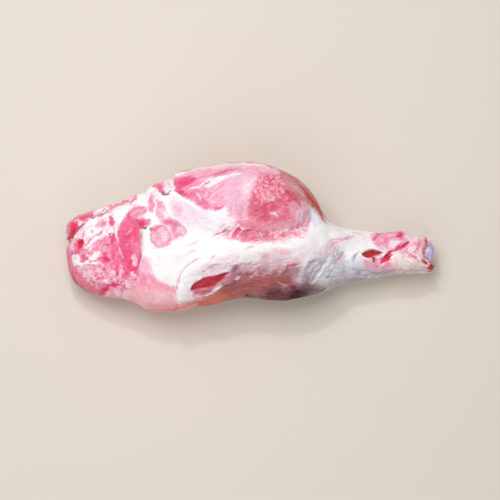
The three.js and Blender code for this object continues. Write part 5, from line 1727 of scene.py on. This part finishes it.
# Materials
class Nodes:
    """Adds nodes to a material and joins them."""

    def __init__(self, name):
        self.material = bpy.data.materials.new(name)
        self.material.use_nodes = True
        self.tree = self.material.node_tree
        self.shader = self.tree.nodes["Principled BSDF"]

    def add(self, kind, inputs=(), **settings):
        node = self.tree.nodes.new("ShaderNode" + kind)
        for key, value in settings.items():
            setattr(node, key, value)
        for key, value in dict(inputs).items():
            self.put(node.inputs[key], value)
        return node

    def put(self, socket, value):
        if isinstance(value, bpy.types.NodeSocket):
            self.tree.links.new(value, socket)
        else:
            socket.default_value = value

    def math(self, operation, a, b):
        return self.add("Math", {0: a, 1: b}, operation=operation).outputs[0]

    def noise(self, vector, scale, detail=3.0, stretch=None):
        if stretch is not None:
            vector = self.add("VectorMath", {0: vector, 1: stretch}, operation="MULTIPLY").outputs[0]
        return self.add("TexNoise", {"Vector": vector, "Scale": scale, "Detail": detail}).outputs["Fac"]

    def between(self, value, low, high, to_low=0.0, to_high=1.0):
        inputs = {"Value": value, "From Min": low, "From Max": high, "To Min": to_low, "To Max": to_high}
        return self.add("MapRange", inputs).outputs["Result"]

    def blend(self, share, a, b, blend_type="MIX"):
        node = self.add("Mix", data_type="RGBA", blend_type=blend_type)
        for key, value in (("Factor_Float", share), ("A_Color", a), ("B_Color", b)):
            self.put(next(s for s in node.inputs if s.identifier == key), value)
        return next(s for s in node.outputs if s.identifier == "Result_Color")

    def attribute(self, name, output):
        return self.add("Attribute", attribute_name=name).outputs[output]


# Sizes of the fibres, mottling and granules, as scales of their noises, to a metre
FIBRE_SCALES = (70.0, 620.0, 620.0)
MOTTLE_SCALE = 260.0
GRANULE_SCALE = 620.0
# Where the noises begin to show and where they show in full
FIBRES_SHOW = (0.5, 0.72)
MOTTLE_SHOWS = (0.5, 0.75)
# Colours that the fibres and the mottling bring, and how strongly
PALE, PALE_SHARE = (0.95, 0.8, 0.85, 1.0), 0.3
REDDER = (0.96, 0.72, 0.76, 1.0)
STREAK_SHARE = 0.6
FAT_HIDES_MOTTLE = 0.8
# Roughness and wet film, each as (from, to, value at from, value at to)
ROUGHNESS_BY_MOTTLE = (0.35, 0.7, -0.07, 0.09)
ROUGHNESS_BY_FAT = (0.0, 1.0, 0.36, 0.46)
# Where the tint is as dark as the painted shadow, the surface is rougher and has less wet film
DARKEST, DARK = 0.02, 0.12
DARK_ROUGHNESS = 0.4
DARK_FILM = 0.1
# Heights of the fine bump
FIBRE_BUMP, MOTTLE_BUMP, GRANULE_BUMP = 0.8, 0.7, 0.35
BUMP_STRENGTH, BUMP_DISTANCE = 0.55, 0.0009
SAME_ALL_OVER = {
    "Subsurface Weight": 0.3,
    "Subsurface Radius": (1.0, 0.42, 0.36),
    "Coat Roughness": 0.14,
    "Specular IOR Level": 0.3,
    "IOR": 1.4,
}


def tissue_material(name, wet, depth):
    """Raw tissue tinted by the colours kept on the surface, painted shade and highlights among them, with
    fibres, granules and a wet film.
    """
    n = Nodes(name)
    place = n.add("TexCoord").outputs["Object"]
    tint, fat, fibre = n.attribute("tint", "Color"), n.attribute("fat", "Fac"), n.attribute("fibre", "Fac")
    fibres = n.noise(place, 1.0, 3.0, FIBRE_SCALES)
    mottle = n.noise(place, MOTTLE_SCALE, 4.0)
    cells = n.add("TexVoronoi", {"Vector": place, "Scale": GRANULE_SCALE}).outputs["Distance"]
    pale = n.blend(PALE_SHARE, tint, PALE)
    streaks = n.math("MULTIPLY", n.between(fibres, *FIBRES_SHOW), fibre)
    colour = n.blend(n.math("MULTIPLY", streaks, STREAK_SHARE), tint, pale)
    redder = n.blend(1.0, colour, REDDER, "MULTIPLY")
    lean_share = n.math("SUBTRACT", 1.0, n.math("MULTIPLY", fat, FAT_HIDES_MOTTLE))
    colour = n.blend(n.math("MULTIPLY", n.between(mottle, *MOTTLE_SHOWS), lean_share), colour, redder)
    n.put(n.shader.inputs["Base Color"], colour)
    darkness = n.add("RGBToBW", {"Color": tint}).outputs[0]
    roughness = n.math("ADD", n.between(mottle, *ROUGHNESS_BY_MOTTLE), n.between(fat, *ROUGHNESS_BY_FAT))
    roughness = n.math("ADD", roughness, n.between(darkness, DARKEST, DARK, DARK_ROUGHNESS, 0.0))
    n.put(n.shader.inputs["Roughness"], roughness)
    n.put(n.shader.inputs["Coat Weight"], n.between(darkness, DARKEST, DARK, DARK_FILM * wet, wet))
    fibre_bump = n.math("MULTIPLY", n.math("MULTIPLY", fibres, fibre), FIBRE_BUMP)
    height = n.math("ADD", fibre_bump, n.math("MULTIPLY", mottle, MOTTLE_BUMP))
    height = n.math("ADD", height, n.math("MULTIPLY", n.math("MULTIPLY", cells, fat), GRANULE_BUMP))
    bump = n.add("Bump", {"Height": height, "Strength": BUMP_STRENGTH, "Distance": BUMP_DISTANCE})
    n.put(n.shader.inputs["Normal"], bump.outputs["Normal"])
    n.shader.inputs["Subsurface Scale"].default_value = depth
    for socket, value in SAME_ALL_OVER.items():
        n.shader.inputs[socket].default_value = value
    return n.material


# Pieces
def make_piece(name, points, faces, material):
    mesh = bpy.data.meshes.new(name)
    mesh.from_pydata((points * MM).tolist(), [], faces)
    mesh.update()
    mesh.shade_smooth()
    piece = bpy.data.objects.new(name, mesh)
    bpy.context.scene.collection.objects.link(piece)
    mesh.materials.append(material)
    return piece


def store(piece, name, values):
    """Keeps a value, or a colour, for each of the piece's points, for its material to read."""
    kind = "FLOAT_COLOR" if values.ndim == 2 else "FLOAT"
    attribute = piece.data.attributes.new(name, kind, "POINT")
    if values.ndim == 2:
        values = np.concatenate([values, np.ones((len(values), 1))], axis=1)
    field = "color" if kind == "FLOAT_COLOR" else "value"
    attribute.data.foreach_set(field, values.astype(np.float32).ravel())


def attach(piece, node):
    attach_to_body(piece, "root")
    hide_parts(node)


def finish_piece(name, skin, points, faces, material, node):
    """Makes the mesh, keeps the skin's tissues on it, and ties it to the frame."""
    piece = make_piece(name, keep_in_box(points), faces, material)
    store(piece, "tint", skin.tint)
    store(piece, "fat", skin.fat)
    store(piece, "fibre", skin.fibre)
    attach(piece, node)


# The regions in the order in which they cover each other
REGIONS = (
    paint_fat_sheet, paint_rump, paint_flank, paint_rump_band, paint_flap, paint_window,
    paint_dome, paint_knot, paint_ridge, paint_lobe, paint_shank, paint_hock,
)


def make_flesh(material):
    points, rings = base_points()
    faces = loft_faces(rings, AROUND)
    normals = vertex_normals(points, faces)
    points = points + normals * form_relief(points, normals)[:, None]
    points[:, 0] += end_reach(points)
    normals = vertex_normals(points, faces)
    skin = Skin(points, normals)
    lay_hidden_sides(skin, normals)
    for paint in REGIONS:
        paint(skin)
    points = points + normals * (skin.lift + fine_relief(skin))[:, None]
    finish_piece("leg_flesh", skin, points, faces, material, "leg_meat")


# The bone, in mm: its line as (Y, Z), and its width along X as shares of the shaft's half width
BONE_LINE = (-20.0, 28.0)
BONE_TOP_END = 58.0
BONE_SHAFT = 10.0
BONE_WIDTH = [(58, 0.55), (66, 1), (200, 1.05), (222, 1.4), (236, 1.72), (244, 1.66), (250, 1)]
BONE_FLATNESS = 0.86
KNUCKLE_GROOVE = 0.16
BONE_SHAFT_END = 205
BONE_SHAFT_RINGS = 50
BONE_KNUCKLE_RINGS = 100
GROOVE_START, GROOVE_FULL = 215, 245
BONE_AROUND = 110
# Stains on the cartilage as tissue, size in mm, seed, and where the noise begins and is full
BONE_STAINS = (("pale", 7, 61, 0.1, 0.7), ("rose", 9, 62, 0.3, 0.8))
STAIN_SHARE = 0.5
BONE_UNEVENNESS = 0.4


def make_bone(material):
    shaft = np.linspace(BONE_TOP_END, BONE_SHAFT_END, BONE_SHAFT_RINGS)
    knuckle = np.linspace(BONE_SHAFT_END + 1, HOCK_END, BONE_KNUCKLE_RINGS)
    x = np.concatenate([shaft, knuckle])
    angle = 2 * math.pi * np.arange(BONE_AROUND) / BONE_AROUND - math.pi / 2
    waist = 1 - KNUCKLE_GROOVE * smoothstep(x, GROOVE_START, GROOVE_FULL)[:, None] * np.sin(angle) ** 4
    radius = BONE_SHAFT * smooth_curve(BONE_WIDTH, x)[:, None] * waist
    grid = np.empty((len(x), BONE_AROUND, 3))
    grid[..., 0] = x[:, None]
    grid[..., 1] = BONE_LINE[0] + radius * np.cos(angle)
    grid[..., 2] = BONE_LINE[1] + radius * np.sin(angle) * BONE_FLATNESS
    points = np.concatenate([[[BONE_TOP_END, *BONE_LINE]], grid.reshape(-1, 3), [[HOCK_END, *BONE_LINE]]])
    faces = loft_faces(len(x), BONE_AROUND)
    normals = vertex_normals(points, faces)
    skin = Skin(points, normals)
    skin.lay(np.ones(len(points)), "cartilage", angle=80, level=0.0, long=9, short=3)
    for tissue, size, seed, low, high in BONE_STAINS:
        skin.lay(smoothstep(rough(points, size, 2, seed), low, high) * STAIN_SHARE, tissue, angle=80)
    points = points + normals * (BONE_UNEVENNESS * rough(points, 6, 3, 63))[:, None]
    finish_piece("bone_end", skin, points, faces, material, "shank_bone")


# Floor, lights and camera
FLOOR_SIDE = 8
FLOOR_COLOUR = (0.72, 0.66, 0.58, 1)
FLOOR_ROUGHNESS = 0.7

# Area lights as name, place, size, power and colour
LIGHTS = (
    ("key", (-0.4, 0.6, 2.0), 1.4, 24.6, (1.0, 0.99, 0.98)),
    ("glint", (-0.25, 0.9, 1.6), 0.1, 4.0, (1.0, 1.0, 1.0)),
    ("fill", (-0.3, -1.45, 1.3), 2.0, 9.0, (1.0, 0.98, 0.97)),
)
WORLD_STRENGTH = 0.4


def make_floor():
    bpy.ops.mesh.primitive_plane_add(size=FLOOR_SIDE, location=(0, 0, 0))
    floor = bpy.context.object
    floor.name = "floor"
    n = Nodes("pale_floor")
    n.shader.inputs["Base Color"].default_value = FLOOR_COLOUR
    n.shader.inputs["Roughness"].default_value = FLOOR_ROUGHNESS
    floor.data.materials.append(n.material)


def add_light(name, location, size, power, colour):
    light = bpy.data.lights.new(name, "AREA")
    light.size = size
    light.energy = power
    light.color = colour
    lamp = bpy.data.objects.new(name, light)
    lamp.location = location
    lamp.rotation_euler = (-Vector(location)).to_track_quat("-Z", "Y").to_euler()
    bpy.context.scene.collection.objects.link(lamp)


def light_the_scene():
    for light in LIGHTS:
        add_light(*light)
    world = bpy.data.worlds.new("studio")
    world.use_nodes = True
    background = world.node_tree.nodes["Background"]
    background.inputs["Color"].default_value = (1, 1, 1, 1)
    background.inputs["Strength"].default_value = WORLD_STRENGTH
    bpy.context.scene.world = world
    bpy.context.scene.view_settings.view_transform = "Standard"


def add_camera():
    camera = bpy.data.objects.new("camera", bpy.data.cameras.new("camera"))
    camera.data.sensor_width = SENSOR_WIDTH
    camera.data.lens = SENSOR_WIDTH * VIEW_DISTANCE / (PHOTO_SIDE * MM_PER_PIXEL)
    camera.location = CAMERA_AT * MM
    camera.rotation_euler = Vector(-VIEW_BACK).to_track_quat("-Z", "Y").to_euler()
    bpy.context.scene.collection.objects.link(camera)
    bpy.context.scene.camera = camera


add_camera()
make_flesh(tissue_material("raw_flesh", wet=0.2, depth=0.0035))
make_bone(tissue_material("cartilage", wet=0.3, depth=0.002))
make_floor()
light_the_scene()
